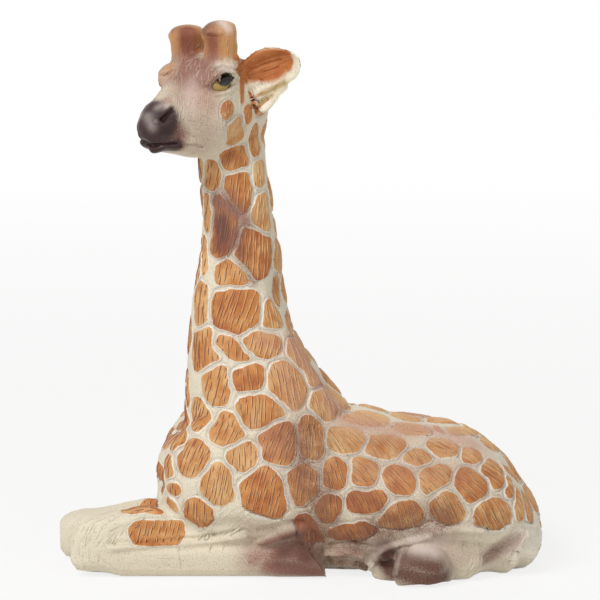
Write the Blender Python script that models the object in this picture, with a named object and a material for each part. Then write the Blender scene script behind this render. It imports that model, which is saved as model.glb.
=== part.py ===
"""Toy giraffe lying down with its neck up: a figure cast in parts and glued together.

Metres, +Z up. The animal faces -X and its left side faces -Y. It rests on z = 0, and the
origin is the middle of its outline on that plane. Each casting is a loft of egg-shaped
sections, cut to its neighbour with a glue gap, and located by a key in a socket.
"""

import math

import bmesh
import bpy
from mathutils import Matrix, Vector

# Joints between the castings
GLUE_GAP = 0.0003
KEY_TAPER_SHARE = 0.8
KEY_SIDES = 15

# Torso casting
TORSO_LENGTH = 0.0700
TORSO_HEIGHT = 0.0312
TORSO_WIDTH = 0.0384
TORSO_FRONT_X = -0.0262
BELLY_DEPTH = 0.0015
SHOULDER_LENGTH = 0.0225
SHOULDER_HEIGHT = 0.0240
SHOULDER_WIDTH = 0.0150
SHOULDER_X = -0.0140
SHOULDER_SPREAD = 0.0066
SHOULDER_Z = 0.0178

# Neck casting
NECK_ROOT_Z = 0.0200
NECK_HEIGHT = 0.0640
NECK_ROOT_LENGTH = 0.0300
NECK_ROOT_WIDTH = 0.0260
NECK_ROOT_X = -0.0060
NECK_LEAN = 0.0070
NECK_KEY_RADIUS = 0.0040
NECK_KEY_LENGTH = 0.0170

# Head casting
HEAD_TURN = math.radians(41.0)
HEAD_LENGTH = 0.0270
HEAD_HEIGHT = 0.0186
HEAD_WIDTH = 0.0164
HEAD_BACK = 0.0066
JAW_LENGTH = 0.0130
JAW_WIDTH = 0.0108
JAW_TIP_SETBACK = 0.0012
HEAD_LOW_Z = 0.0743
HEAD_KEY_RADIUS = 0.0024
HEAD_KEY_LENGTH = 0.0060
BROW_LENGTH = 0.0080
BROW_WIDTH = 0.0060
BROW_HEIGHT = 0.0052
BROW_FORWARD = 0.0078
BROW_SPREAD = 0.0048
BROW_ABOVE_JAW = 0.0146
NOSTRIL_LENGTH = 0.0026
NOSTRIL_WIDTH = 0.0012
NOSTRIL_FORWARD = 0.0162
NOSTRIL_SPREAD = 0.0036
NOSTRIL_ABOVE_JAW = 0.0108
NOSTRIL_SLANT = math.radians(50.0)

# Eye beads
EYE_RADIUS = 0.0012
EYE_FORWARD = 0.0076
EYE_SPREAD = 0.0072
EYE_ABOVE_JAW = 0.0146

# Ossicones, the two knobbed horns; the right one is a little shorter
HORN_HEIGHT = 0.0080
RIGHT_HORN_HEIGHT = 0.0070
HORN_RADIUS = 0.0033
HORN_FORWARD = 0.0059
HORN_SPREAD = 0.0041
HORN_ROOT_ABOVE_JAW = 0.0166
HORN_KEY_RADIUS = 0.0011
HORN_KEY_LENGTH = 0.0026
HORN_SPLAY = math.radians(3.0)

# Ears
EAR_LENGTH = 0.0122
EAR_WIDTH = 0.0100
EAR_THICKNESS = 0.0016
EAR_CUP_DEPTH = 0.0022
EAR_FORWARD = 0.0020
EAR_SPREAD = 0.0058
EAR_ABOVE_JAW = 0.0128
EAR_KEY_RADIUS = 0.0010
EAR_KEY_LENGTH = 0.0026
EAR_SWEEP = math.radians(29.0)
EAR_RISE = math.radians(24.0)

# Forelegs, folded with the hoof turned back; the right one lies a little further forward
FORELEG_LENGTH = 0.0370
FORELEG_HEIGHT = 0.0116
RIGHT_FORELEG_HEIGHT = 0.0100
FORELEG_WIDTH = 0.0085
FORELEG_KNEE_X = -0.0412
RIGHT_KNEE_FORWARD = 0.0030
FORELEG_KNEE_Y = 0.0058
FORELEG_SPREAD = 0.0030
SHIN_LENGTH = 0.0450
SHIN_HEIGHT = 0.0066
SHIN_WIDTH = 0.0076
SHIN_SPREAD = 0.0032
HOOF_HEIGHT = 0.0088
HOOF_SLANT = 0.0056

# Hind legs, with the foot lying forward beside the belly
HIND_HOCK_X = 0.0385
HIND_FOOT_LENGTH = 0.0255
HIND_FOOT_HEIGHT = 0.0098
HIND_FOOT_WIDTH = 0.0086
HIND_HOCK_Y = 0.0100
HIND_TOE_Y = 0.0138
TOE_LENGTH = 0.0112
TOE_WIDTH = 0.0066
TOE_HEIGHT = 0.0078
TOE_SPREAD = 0.0026
INNER_TOE_FORWARD = 0.0036

# Tail, laid down the right haunch
TAIL_THICKNESS = 0.0040
TAIL_PROUD_SHARE = 0.45

# Shares of the sizes above, section by section: place along, low edge, high edge, width.
# The body's fifth share is how far its lower half thins to a keel, the neck's shares are
# lean, front, back and width, and a limb's second share is its sideways step
TORSO_SHARES = (
    (0.000, 0.32, 0.58, 0.16, 1.00),
    (0.010, 0.26, 0.66, 0.28, 1.00),
    (0.035, 0.16, 0.78, 0.44, 1.10),
    (0.085, 0.06, 0.88, 0.58, 1.25),
    (0.160, 0.00, 0.95, 0.70, 1.40),
    (0.250, 0.00, 0.99, 0.80, 1.45),
    (0.370, 0.00, 0.98, 0.87, 1.40),
    (0.480, 0.00, 0.925, 0.92, 1.25),
    (0.600, 0.00, 0.88, 0.97, 1.20),
    (0.710, 0.00, 0.85, 1.00, 1.25),
    (0.810, 0.00, 0.80, 0.98, 1.25),
    (0.890, 0.00, 0.70, 0.87, 1.10),
    (0.945, 0.01, 0.56, 0.70, 1.00),
    (0.980, 0.07, 0.42, 0.47, 1.00),
    (0.996, 0.14, 0.31, 0.24, 1.00),
)
TORSO_WAIST_SHARE = 0.50
HEAD_WAIST_SHARE = 0.52
JAW_WAIST_SHARE = 0.60
BODY_FULLNESS_SHARE = 0.92
LIMB_FULLNESS_SHARE = 0.80
HOOF_FULLNESS_SHARE = 0.66
NECK_KEY_ROOT_SHARE = 0.33
NECK_SHARES = (
    (0.000, 0.00, 1.02, 1.22, 1.04),
    (0.090, 0.13, 0.95, 1.14, 0.97),
    (0.155, 0.20, 0.92, 1.05, 0.90),
    (0.225, 0.33, 0.84, 0.94, 0.82),
    (0.305, 0.54, 0.72, 0.82, 0.73),
    (0.380, 0.69, 0.62, 0.70, 0.65),
    (0.440, 0.75, 0.57, 0.645, 0.60),
    (0.520, 0.79, 0.52, 0.58, 0.55),
    (0.600, 0.81, 0.47, 0.53, 0.51),
    (0.680, 0.86, 0.41, 0.46, 0.48),
    (0.760, 0.88, 0.40, 0.445, 0.46),
    (0.840, 0.96, 0.38, 0.42, 0.45),
    (0.920, 0.99, 0.37, 0.40, 0.45),
    (1.000, 1.00, 0.34, 0.37, 0.43),
)
HEAD_SHARES = (
    (0.000, 0.30, 0.60, 0.26),
    (0.012, 0.20, 0.70, 0.44),
    (0.050, 0.12, 0.81, 0.64),
    (0.120, 0.05, 0.90, 0.78),
    (0.220, 0.01, 0.96, 0.87),
    (0.340, 0.00, 0.99, 0.94),
    (0.460, 0.01, 1.00, 0.99),
    (0.560, 0.04, 0.95, 1.00),
    (0.650, 0.07, 0.85, 0.80),
    (0.744, 0.11, 0.755, 0.56),
    (0.837, 0.15, 0.665, 0.45),
    (0.900, 0.18, 0.60, 0.41),
    (0.955, 0.22, 0.50, 0.35),
    (0.988, 0.27, 0.44, 0.26),
    (1.000, 0.32, 0.38, 0.12),
)
JAW_SHARES = (
    (0.00, 0.02, 0.24, 1.00),
    (0.25, 0.035, 0.28, 0.94),
    (0.50, 0.075, 0.28, 0.82),
    (0.75, 0.110, 0.26, 0.73),
    (0.92, 0.135, 0.25, 0.62),
    (0.98, 0.160, 0.24, 0.42),
    (1.00, 0.185, 0.22, 0.20),
)
FOREARM_SHARES = (
    (0.000, 0.0, 0.22, 0.72, 0.28),
    (0.015, 0.0, 0.12, 0.84, 0.48),
    (0.060, 0.0, 0.02, 0.96, 0.74),
    (0.150, 0.0, 0.00, 1.00, 0.90),
    (0.280, 0.0, 0.16, 1.00, 0.92),
    (0.450, 0.0, 0.32, 0.99, 0.93),
    (0.650, 0.0, 0.38, 1.02, 1.00),
    (0.850, 0.0, 0.36, 1.12, 1.08),
    (1.000, 0.0, 0.34, 1.20, 1.00),
)
SHIN_SHARES = (
    (0.020, 0.02, 0.10, 0.90, 0.60),
    (0.060, 0.06, 0.02, 0.98, 0.84),
    (0.200, 0.20, 0.00, 1.00, 0.88),
    (0.400, 0.40, 0.00, 0.96, 0.86),
    (0.600, 0.60, 0.00, 0.94, 0.86),
    (0.740, 0.74, 0.00, 0.98, 0.90),
)
HOOF_SHARES = ((0.80, 0.70, 0.0, 0.92), (0.88, 0.84, 0.4, 0.98), (1.00, 1.00, 1.0, 1.00))
FOOT_SHARES = (
    (0.000, 0.00, 0.24, 0.60, 0.40),
    (0.030, 0.05, 0.10, 0.80, 0.66),
    (0.090, 0.20, 0.00, 0.94, 0.88),
    (0.200, 0.42, 0.00, 1.00, 0.98),
    (0.350, 0.66, 0.00, 0.98, 0.94),
    (0.500, 0.82, 0.00, 0.90, 0.92),
    (0.640, 0.92, 0.00, 0.78, 0.96),
    (0.780, 1.00, 0.00, 0.66, 0.98),
    (0.860, 1.00, 0.02, 0.58, 0.84),
    (0.920, 1.00, 0.10, 0.46, 0.56),
)
EAR_SHARES = (
    (0.00, 0.62, 1.90), (0.12, 0.80, 1.60), (0.28, 0.96, 1.25), (0.45, 1.00, 1.00),
    (0.62, 0.90, 0.90), (0.78, 0.66, 0.80), (0.90, 0.40, 0.70), (0.975, 0.16, 0.50),
)
HORN_SHARES = (
    (0.00, 0.98), (0.20, 0.90), (0.40, 0.88), (0.60, 0.95), (0.74, 1.00),
    (0.86, 0.90), (0.94, 0.68), (0.985, 0.36), (1.00, 0.14),
)
TAIL_SHARES = (
    (0.925, 0.170, 0.36),
    (0.925, 0.140, 0.56),
    (0.915, 0.105, 0.58),
    (0.895, 0.070, 0.56),
    (0.862, 0.040, 0.52),
    (0.820, 0.012, 0.50),
    (0.775, -0.010, 0.60),
    (0.730, -0.025, 0.86),
    (0.680, -0.038, 1.00),
    (0.635, -0.045, 0.84),
    (0.605, -0.050, 0.40),
)

# How finely the lofts are cut
BODY_RING = 32
HEAD_RING = 28
LEG_RING = 16
EAR_RING = 14
STEPS_BETWEEN = 2
BEAD_SEGMENTS = 14
BEAD_RINGS = 8
SHOULDER_SEGMENTS = 20
SHOULDER_RINGS = 12
SHARP_ANGLE = math.radians(50.0)

# Paint colours: base colour and roughness
PAINTS = {
    "spotted_coat": ((0.62, 0.36, 0.15, 1.0), 0.55),
    "cream_coat": ((0.82, 0.74, 0.58, 1.0), 0.60),
    "horn_brown": ((0.42, 0.20, 0.12, 1.0), 0.50),
    "eye_black": ((0.02, 0.02, 0.02, 1.0), 0.10),
}


def fresh_scene():
    """Empties the scene and makes one collection for the figure and one for its cutters."""
    for old in list(bpy.data.objects):
        bpy.data.objects.remove(old, do_unlink=True)
    made = []
    for name in ("giraffe_figure", "cutters"):
        group = bpy.data.collections.new(name)
        bpy.context.scene.collection.children.link(group)
        made.append(group)
    return made


def paint(name):
    """The named coat of paint, made once."""
    found = bpy.data.materials.get(name)
    if found:
        return found
    colour, roughness = PAINTS[name]
    made = bpy.data.materials.new(name)
    made.use_nodes = True
    surface = made.node_tree.nodes["Principled BSDF"]
    surface.inputs["Base Color"].default_value = colour
    surface.inputs["Roughness"].default_value = roughness
    surface.inputs["Metallic"].default_value = 0.0
    made.diffuse_color = colour
    return made


def object_from(name, bm, group, coat=None):
    """Turns a bmesh into an object, smooth shaded, in a collection."""
    bmesh.ops.recalc_face_normals(bm, faces=bm.faces)
    mesh = bpy.data.meshes.new(name)
    bm.to_mesh(mesh)
    bm.free()
    mesh.shade_smooth()
    mesh.set_sharp_from_angle(angle=SHARP_ANGLE)
    made = bpy.data.objects.new(name, mesh)
    group.objects.link(made)
    if coat:
        mesh.materials.append(paint(coat))
    else:
        made.hide_render = True
        made.display_type = "WIRE"
    return made


def between(sections, steps):
    """Catmull-Rom steps between rows of numbers, so that a few sections make a smooth loft."""
    rows = []
    last = len(sections) - 1
    for i in range(last):
        before, start = sections[max(i - 1, 0)], sections[i]
        end, after = sections[i + 1], sections[min(i + 2, last)]
        for step in range(steps):
            t = step / steps
            rows.append([
                b + t * (c - a + t * (2 * a - 5 * b + 4 * c - d + t * (3 * (b - c) + d - a))) / 2
                if i not in (0, last - 1) else b + t * (c - b)
                for a, b, c, d in zip(before, start, end, after)
            ])
    rows.append(list(sections[-1]))
    return rows


def egg_ring(centre, up, down, side, count, power=1.0):
    """Points round an egg: its upper and lower halves have their own heights."""
    ring = []
    for k in range(count):
        turn = 2 * math.pi * k / count
        across, rise = math.cos(turn), math.sin(turn)
        reach = up if rise >= 0 else down
        across = math.copysign(abs(across) ** power, across)
        ring.append(centre + side * across + reach * abs(rise) ** power)
    return ring


def loft(rings):
    """A closed skin through rings of equally many points, with a flat cap at each end."""
    bm = bmesh.new()
    rows = [[bm.verts.new(point) for point in ring] for ring in rings]
    count = len(rows[0])
    for low, high in zip(rows, rows[1:]):
        for k in range(count):
            after = (k + 1) % count
            bm.faces.new((low[k], low[after], high[after], high[k]))
    bm.faces.new(rows[0][::-1])
    bm.faces.new(rows[-1])
    return bm


def grown(source, gap, group, name):
    """A cutter: the source's finished surface moved out by a gap along its normals."""
    graph = bpy.context.evaluated_depsgraph_get()
    mesh = bpy.data.meshes.new_from_object(source.evaluated_get(graph))
    mesh.transform(source.matrix_world)
    normals = [vertex.normal.copy() for vertex in mesh.vertices]
    for vertex, normal in zip(mesh.vertices, normals):
        vertex.co += normal * gap
    made = bpy.data.objects.new(name, mesh)
    group.objects.link(made)
    made.hide_render = True
    made.display_type = "WIRE"
    return made


def boolean(target, operation, tools):
    """Adds one exact Boolean that joins or cuts a casting with all of the tools at once."""
    group = bpy.data.collections.new(f"{target.name}_{operation.lower()}")
    bpy.data.collections["cutters"].children.link(group)
    for tool in tools:
        group.objects.link(tool)
    step = target.modifiers.new(operation.lower(), "BOOLEAN")
    step.operation = operation
    step.solver = "EXACT"
    step.operand_type = "COLLECTION"
    step.collection = group


def key_shape(foot, tip, radius, group, name):
    """A tapered round key from foot to tip."""
    bm = bmesh.new()
    axis = tip - foot
    bmesh.ops.create_cone(
        bm, cap_ends=True, segments=KEY_SIDES, radius1=radius,
        radius2=radius * KEY_TAPER_SHARE, depth=axis.length,
    )
    bmesh.ops.translate(bm, verts=bm.verts, vec=(0, 0, axis.length / 2))
    turn = axis.to_track_quat("Z", "Y").to_matrix().to_4x4()
    bmesh.ops.transform(bm, matrix=Matrix.Translation(foot) @ turn, verts=bm.verts)
    return object_from(name, bm, group)


def key_and_socket(name, foot, tip, radius, cutters):
    """A key for a casting, and the socket that takes it in its neighbour, a glue gap wider."""
    key = key_shape(foot, tip, radius, cutters, f"{name}_key")
    far = tip + (tip - foot).normalized() * GLUE_GAP
    return key, key_shape(foot, far, radius + GLUE_GAP, cutters, f"{name}_socket")


def ellipsoid(centre, size, group, name, coat=None, turn=None, rings=BEAD_RINGS, segments=BEAD_SEGMENTS):
    """A ball stretched to a size, with an optional turn."""
    bm = bmesh.new()
    bmesh.ops.create_uvsphere(bm, u_segments=segments, v_segments=rings, radius=1.0)
    stretch = Matrix.Diagonal((size[0] / 2, size[1] / 2, size[2] / 2, 1.0))
    place = Matrix.Translation(centre) @ (turn or Matrix.Identity(4)) @ stretch
    bmesh.ops.transform(bm, matrix=place, verts=bm.verts)
    return object_from(name, bm, group, coat)


def head_place():
    """Carries the head's own frame, nose along -X, onto the top of the neck."""
    middle = Vector((NECK_ROOT_X - NECK_LEAN, 0, HEAD_LOW_Z))
    return Matrix.Translation(middle) @ Matrix.Rotation(HEAD_TURN, 4, "Z")


def torso_point(section, turn):
    """A point on the body: a section of it, and a turn round it from the right side up."""
    along, low, high, width, keel = section
    bottom, top = low * TORSO_HEIGHT - BELLY_DEPTH, high * TORSO_HEIGHT
    waist = bottom + (top - bottom) * TORSO_WAIST_SHARE
    across, rise = math.cos(turn), math.sin(turn)
    reach = top - waist if rise >= 0 else waist - bottom
    fullness = BODY_FULLNESS_SHARE if rise >= 0 else keel
    return Vector((
        TORSO_FRONT_X + along * TORSO_LENGTH,
        math.copysign(abs(across) ** fullness, across) * width * TORSO_WIDTH / 2,
        waist + math.copysign(abs(rise) ** fullness, rise) * reach,
    ))


def make_torso(group, cutters):
    """The body, with the shoulders raised on it, and the cutters that bed things on it."""
    turns = [2 * math.pi * k / BODY_RING for k in range(BODY_RING)]
    sections = between(TORSO_SHARES, STEPS_BETWEEN)
    rings = [[torso_point(section, turn) for turn in turns] for section in sections]
    torso = object_from("torso", loft(rings), group, "spotted_coat")
    shoulders = [
        ellipsoid(
            Vector((SHOULDER_X, side * SHOULDER_SPREAD, SHOULDER_Z)),
            (SHOULDER_LENGTH, SHOULDER_WIDTH, SHOULDER_HEIGHT),
            cutters, f"{word}_shoulder", rings=SHOULDER_RINGS, segments=SHOULDER_SEGMENTS,
        )
        for side, word in ((-1, "left"), (1, "right"))
    ]
    beds = [grown(piece, GLUE_GAP, cutters, f"{piece.name}_bed") for piece in (torso, *shoulders)]
    boolean(torso, "UNION", shoulders)
    return torso, beds


def ground_slab(cutters):
    """A slab under z = 0 that sands a casting flat."""
    bm = bmesh.new()
    bmesh.ops.create_cube(bm, size=1.0)
    reach = TORSO_LENGTH + SHIN_LENGTH
    bmesh.ops.scale(bm, vec=(2 * reach, 2 * reach, TORSO_HEIGHT), verts=bm.verts)
    bmesh.ops.translate(bm, vec=(0, 0, -TORSO_HEIGHT / 2), verts=bm.verts)
    return object_from("ground", bm, cutters)


def make_neck(group):
    """The neck, from inside the shoulders up into the head."""
    rings = []
    for along, lean, front, back, width in between(NECK_SHARES, STEPS_BETWEEN):
        centre = Vector((NECK_ROOT_X - lean * NECK_LEAN, 0, NECK_ROOT_Z + along * NECK_HEIGHT))
        rings.append(egg_ring(
            centre, Vector((-front * NECK_ROOT_LENGTH / 2, 0, 0)),
            Vector((back * NECK_ROOT_LENGTH / 2, 0, 0)),
            Vector((0, width * NECK_ROOT_WIDTH / 2, 0)), BODY_RING,
        ))
    return object_from("neck", loft(rings), group, "spotted_coat")


def head_loft(shares, start, length, width, ring, waist):
    """A loft along the head's own -X, with heights as shares of the head's height."""
    rings = []
    for along, low, high, breadth in between(shares, STEPS_BETWEEN):
        bottom, top = low * HEAD_HEIGHT, high * HEAD_HEIGHT
        middle = bottom + (top - bottom) * waist
        rings.append(egg_ring(
            Vector((-(start + along * length), 0, middle)), Vector((0, 0, top - middle)),
            Vector((0, 0, bottom - middle)), Vector((0, breadth * width / 2, 0)), ring,
        ))
    bm = loft(rings)
    bmesh.ops.transform(bm, matrix=head_place(), verts=bm.verts)
    return bm


def make_head(group, cutters):
    """Skull and upper muzzle, with the lower jaw, brows and nostrils."""
    head = object_from(
        "head", head_loft(HEAD_SHARES, -HEAD_BACK, HEAD_LENGTH, HEAD_WIDTH, HEAD_RING, HEAD_WAIST_SHARE),
        group, "cream_coat",
    )
    jaw_start = HEAD_LENGTH - HEAD_BACK - JAW_LENGTH - JAW_TIP_SETBACK
    jaw = object_from(
        "jaw", head_loft(JAW_SHARES, jaw_start, JAW_LENGTH, JAW_WIDTH, LEG_RING, JAW_WAIST_SHARE),
        cutters,
    )
    place = head_place()
    turn = Matrix.Rotation(HEAD_TURN, 4, "Z")
    slant = turn @ Matrix.Rotation(NOSTRIL_SLANT, 4, "Y")
    brows, nostrils = [], []
    for side, word in ((-1, "left"), (1, "right")):
        brows.append(ellipsoid(
            place @ Vector((-BROW_FORWARD, side * BROW_SPREAD, BROW_ABOVE_JAW)),
            (BROW_LENGTH, BROW_WIDTH, BROW_HEIGHT), cutters, f"{word}_brow", turn=turn,
        ))
        nostrils.append(ellipsoid(
            place @ Vector((-NOSTRIL_FORWARD, side * NOSTRIL_SPREAD, NOSTRIL_ABOVE_JAW)),
            (NOSTRIL_LENGTH, NOSTRIL_WIDTH, NOSTRIL_WIDTH), cutters, f"{word}_nostril", turn=slant,
        ))
    beds = [grown(piece, GLUE_GAP, cutters, f"{piece.name}_bed") for piece in (head, jaw, *brows)]
    middle = place @ Vector((0, 0, HEAD_HEIGHT / 2))
    key, socket = key_and_socket(
        head.name, middle, place @ Vector((0, 0, -HEAD_KEY_LENGTH)), HEAD_KEY_RADIUS, cutters
    )
    boolean(head, "UNION", [jaw, *brows, key])
    return head, beds, nostrils, socket


def make_eye(side, word, group, cutters):
    """A gloss bead sunk in the head under the brow, and the seat it lies in."""
    centre = head_place() @ Vector((-EYE_FORWARD, side * EYE_SPREAD, EYE_ABOVE_JAW))
    across = (2 * EYE_RADIUS,) * 3
    ellipsoid(centre, across, group, f"{word}_eye", "eye_black")
    return ellipsoid(centre, [a + 2 * GLUE_GAP for a in across], cutters, f"{word}_eye_seat")


def make_horn(side, word, head_beds, group, cutters):
    """One ossicone: a stem with a knob, keyed into the skull. Returns the skull's socket."""
    height = RIGHT_HORN_HEIGHT if side > 0 else HORN_HEIGHT
    rings = []
    for rise, thick in between(HORN_SHARES, STEPS_BETWEEN):
        reach = Vector((0, thick * HORN_RADIUS, 0))
        across = Vector((thick * HORN_RADIUS, 0, 0))
        rings.append(egg_ring(Vector((0, 0, rise * height)), reach, -reach, across, LEG_RING))
    bm = loft(rings)
    root = Matrix.Translation((-HORN_FORWARD, side * HORN_SPREAD, HORN_ROOT_ABOVE_JAW))
    place = head_place() @ root @ Matrix.Rotation(-side * HORN_SPLAY, 4, "X")
    bmesh.ops.transform(bm, matrix=place, verts=bm.verts)
    horn = object_from(f"{word}_ossicone", bm, group, "horn_brown")
    boolean(horn, "DIFFERENCE", head_beds)
    foot = place @ Vector((0, 0, height / 2))
    tip = place @ Vector((0, 0, -HORN_KEY_LENGTH))
    key, socket = key_and_socket(horn.name, foot, tip, HORN_KEY_RADIUS, cutters)
    boolean(horn, "UNION", [key])
    return socket


def make_ear(side, word, head_beds, group, cutters):
    """A cupped leaf that stands out sideways and back. Returns the skull's socket."""
    rings = []
    for along, width, thick in between(EAR_SHARES, STEPS_BETWEEN):
        ring = []
        for k in range(EAR_RING):
            turn = 2 * math.pi * k / EAR_RING
            across = math.cos(turn)
            hollow = width * EAR_CUP_DEPTH * (1 - across * across)
            ring.append(Vector((
                thick * EAR_THICKNESS / 2 * math.sin(turn) - hollow,
                along * EAR_LENGTH, width * EAR_WIDTH / 2 * across,
            )))
        rings.append(ring)
    bm = loft(rings)
    level = Vector((math.sin(EAR_SWEEP), -math.cos(EAR_SWEEP), 0))
    out = level * math.cos(EAR_RISE) + Vector((0, 0, math.sin(EAR_RISE)))
    facing = Vector((-math.cos(EAR_SWEEP), -math.sin(EAR_SWEEP), 0))
    turn = Matrix((facing, out, facing.cross(out))).transposed().to_4x4()
    root = Matrix.Translation((-EAR_FORWARD, -EAR_SPREAD, EAR_ABOVE_JAW))
    place = head_place() @ Matrix.Diagonal((1, -side, 1, 1)) @ root @ turn
    bmesh.ops.transform(bm, matrix=place, verts=bm.verts)
    ear = object_from(f"{word}_ear", bm, group, "spotted_coat")
    boolean(ear, "DIFFERENCE", head_beds)
    foot = place @ Vector((-EAR_CUP_DEPTH / 2, EAR_LENGTH * EAR_SHARES[2][0], 0))
    tip = place @ Vector((-EAR_CUP_DEPTH / 2, -EAR_KEY_LENGTH, 0))
    key, socket = key_and_socket(ear.name, foot, tip, EAR_KEY_RADIUS, cutters)
    boolean(ear, "UNION", [key])
    return socket


def limb_rings(shares, start, step, width, height, ring):
    """Rings of a lying limb: shares of its length, sideways step, low and high edge, width."""
    rings = []
    for along, out, low, high, breadth in between(shares, STEPS_BETWEEN):
        bottom, top = low * height, high * height
        middle = (bottom + top) / 2
        centre = Vector((start.x + along * step.x, start.y + out * step.y, middle))
        rings.append(egg_ring(
            centre, Vector((0, 0, top - middle)), Vector((0, 0, bottom - middle)),
            Vector((0, breadth * width / 2, 0)), ring, power=LIMB_FULLNESS_SHARE,
        ))
    return rings


def make_foreleg(side, word, ground, group, cutters):
    """Forearm laid forward to the knee, shin folded under it. Returns its beds in the torso."""
    forward = RIGHT_KNEE_FORWARD if side > 0 else 0
    height = RIGHT_FORELEG_HEIGHT if side > 0 else FORELEG_HEIGHT
    knee = Vector((FORELEG_KNEE_X - forward, side * FORELEG_KNEE_Y, 0))
    forearm = object_from(f"{word}_foreleg", loft(limb_rings(
        FOREARM_SHARES, knee, Vector((FORELEG_LENGTH + forward, side * FORELEG_SPREAD, 0)),
        FORELEG_WIDTH, height, LEG_RING,
    )), group, "cream_coat")
    back = Vector((SHIN_LENGTH + forward, side * SHIN_SPREAD, 0))
    rings = limb_rings(SHIN_SHARES, knee, back, SHIN_WIDTH, SHIN_HEIGHT, LEG_RING)
    for along, tall, slant, width in HOOF_SHARES:
        half = Vector((-slant * HOOF_SLANT / 2, 0, tall * HOOF_HEIGHT / 2))
        centre = knee + back * along + half
        rings.append(egg_ring(
            centre, half, -half, Vector((0, width * SHIN_WIDTH / 2, 0)), LEG_RING,
            power=HOOF_FULLNESS_SHARE,
        ))
    shin = object_from(f"{word}_shin", loft(rings), cutters)
    beds = [grown(piece, GLUE_GAP, cutters, f"{piece.name}_bed") for piece in (forearm, shin)]
    boolean(forearm, "UNION", [shin])
    boolean(forearm, "DIFFERENCE", [ground])
    return beds


def make_hind_leg(side, word, ground, group, cutters):
    """The hind foot lying forward, with two toes. Returns its beds in the torso."""
    hock = Vector((HIND_HOCK_X, side * HIND_HOCK_Y, 0))
    step = Vector((-HIND_FOOT_LENGTH, side * (HIND_TOE_Y - HIND_HOCK_Y), 0))
    foot = object_from(f"{word}_hind_leg", loft(limb_rings(
        FOOT_SHARES, hock, step, HIND_FOOT_WIDTH, HIND_FOOT_HEIGHT, LEG_RING,
    )), group, "cream_coat")
    tip = hock + step + Vector((TOE_LENGTH / 2, 0, TOE_HEIGHT / 2 - BELLY_DEPTH))
    places = (
        (Vector((INNER_TOE_FORWARD / 2, side * TOE_SPREAD, 0)), "outer"),
        (Vector((-INNER_TOE_FORWARD / 2, -side * TOE_SPREAD, 0)), "inner"),
    )
    toes = [
        ellipsoid(
            tip + place, (TOE_LENGTH, TOE_WIDTH, TOE_HEIGHT + 2 * BELLY_DEPTH),
            cutters, f"{word}_{name}_toe",
        )
        for place, name in places
    ]
    beds = [grown(piece, GLUE_GAP, cutters, f"{piece.name}_bed") for piece in (foot, *toes)]
    boolean(foot, "UNION", toes)
    boolean(foot, "DIFFERENCE", [ground])
    return beds


def section_at(along):
    """The body's section at a share of its length, between the listed ones."""
    for low, high in zip(TORSO_SHARES, TORSO_SHARES[1:]):
        if low[0] <= along <= high[0]:
            t = (along - low[0]) / (high[0] - low[0])
            return [a + t * (b - a) for a, b in zip(low, high)]
    return TORSO_SHARES[-1]


def make_tail(leg_beds, group, cutters):
    """The tail, laid down the right haunch above the foot. Returns its bed in the torso."""
    places = []
    for along, turn_share, thick in between(TAIL_SHARES, STEPS_BETWEEN):
        section = section_at(along)
        middle = Vector((TORSO_FRONT_X + along * TORSO_LENGTH, 0, TORSO_HEIGHT / 2))
        point = torso_point(section, 2 * math.pi * turn_share)
        radius = thick * TAIL_THICKNESS / 2
        outward = (point - middle).normalized()
        places.append((point + outward * radius * TAIL_PROUD_SHARE, outward, radius))
    rings = []
    for i, (point, outward, radius) in enumerate(places):
        before, after = places[max(i - 1, 0)][0], places[min(i + 1, len(places) - 1)][0]
        ahead = (after - before).normalized()
        side = ahead.cross(outward).normalized()
        rings.append(egg_ring(
            point, side.cross(ahead) * radius, side.cross(ahead) * -radius, side * radius, LEG_RING,
        ))
    tail = object_from("tail", loft(rings), group, "spotted_coat")
    bed = grown(tail, GLUE_GAP, cutters, "tail_bed")
    boolean(tail, "DIFFERENCE", leg_beds)
    return bed


def centre_on_origin(figure, cutters):
    """Moves everything so that the origin is the middle of the figure's outline."""
    graph = bpy.context.evaluated_depsgraph_get()
    corners = []
    for piece in figure.objects:
        shown = piece.evaluated_get(graph)
        corners.extend(shown.matrix_world @ Vector(corner) for corner in shown.bound_box)
    shift = Vector((
        -(min(c.x for c in corners) + max(c.x for c in corners)) / 2,
        -(min(c.y for c in corners) + max(c.y for c in corners)) / 2,
        0,
    ))
    for thing in (*figure.objects, *cutters.all_objects):
        thing.location += shift


def main():
    figure, cutters = fresh_scene()
    torso, torso_beds = make_torso(figure, cutters)
    neck = make_neck(figure)
    head, head_beds, head_cuts, head_socket = make_head(figure, cutters)
    ground = ground_slab(cutters)
    torso_cuts = [ground]
    for side, word in ((-1, "left"), (1, "right")):
        seat = make_eye(side, word, figure, cutters)
        horn_socket = make_horn(side, word, head_beds + [seat], figure, cutters)
        ear_socket = make_ear(side, word, head_beds, figure, cutters)
        head_cuts.extend([seat, horn_socket, ear_socket])
        torso_cuts.extend(make_foreleg(side, word, ground, figure, cutters))
        leg_beds = make_hind_leg(side, word, ground, figure, cutters)
        torso_cuts.extend(leg_beds)
    torso_cuts.append(make_tail(leg_beds, figure, cutters))
    foot = Vector((NECK_ROOT_X, 0, TORSO_HEIGHT + NECK_KEY_LENGTH * NECK_KEY_ROOT_SHARE))
    key, socket = key_and_socket(
        neck.name, foot, foot - Vector((0, 0, NECK_KEY_LENGTH)), NECK_KEY_RADIUS, cutters
    )
    torso_cuts.append(socket)
    boolean(neck, "DIFFERENCE", torso_beds + head_beds + [head_socket])
    boolean(neck, "UNION", [key])
    boolean(head, "DIFFERENCE", head_cuts)
    boolean(torso, "DIFFERENCE", torso_cuts)
    centre_on_origin(figure, cutters)


main()
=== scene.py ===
import math

import bpy
import numpy as np
from bpy.props import FloatProperty, FloatVectorProperty, IntProperty, PointerProperty
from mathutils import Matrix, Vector
from mathutils.bvhtree import BVHTree


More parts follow.
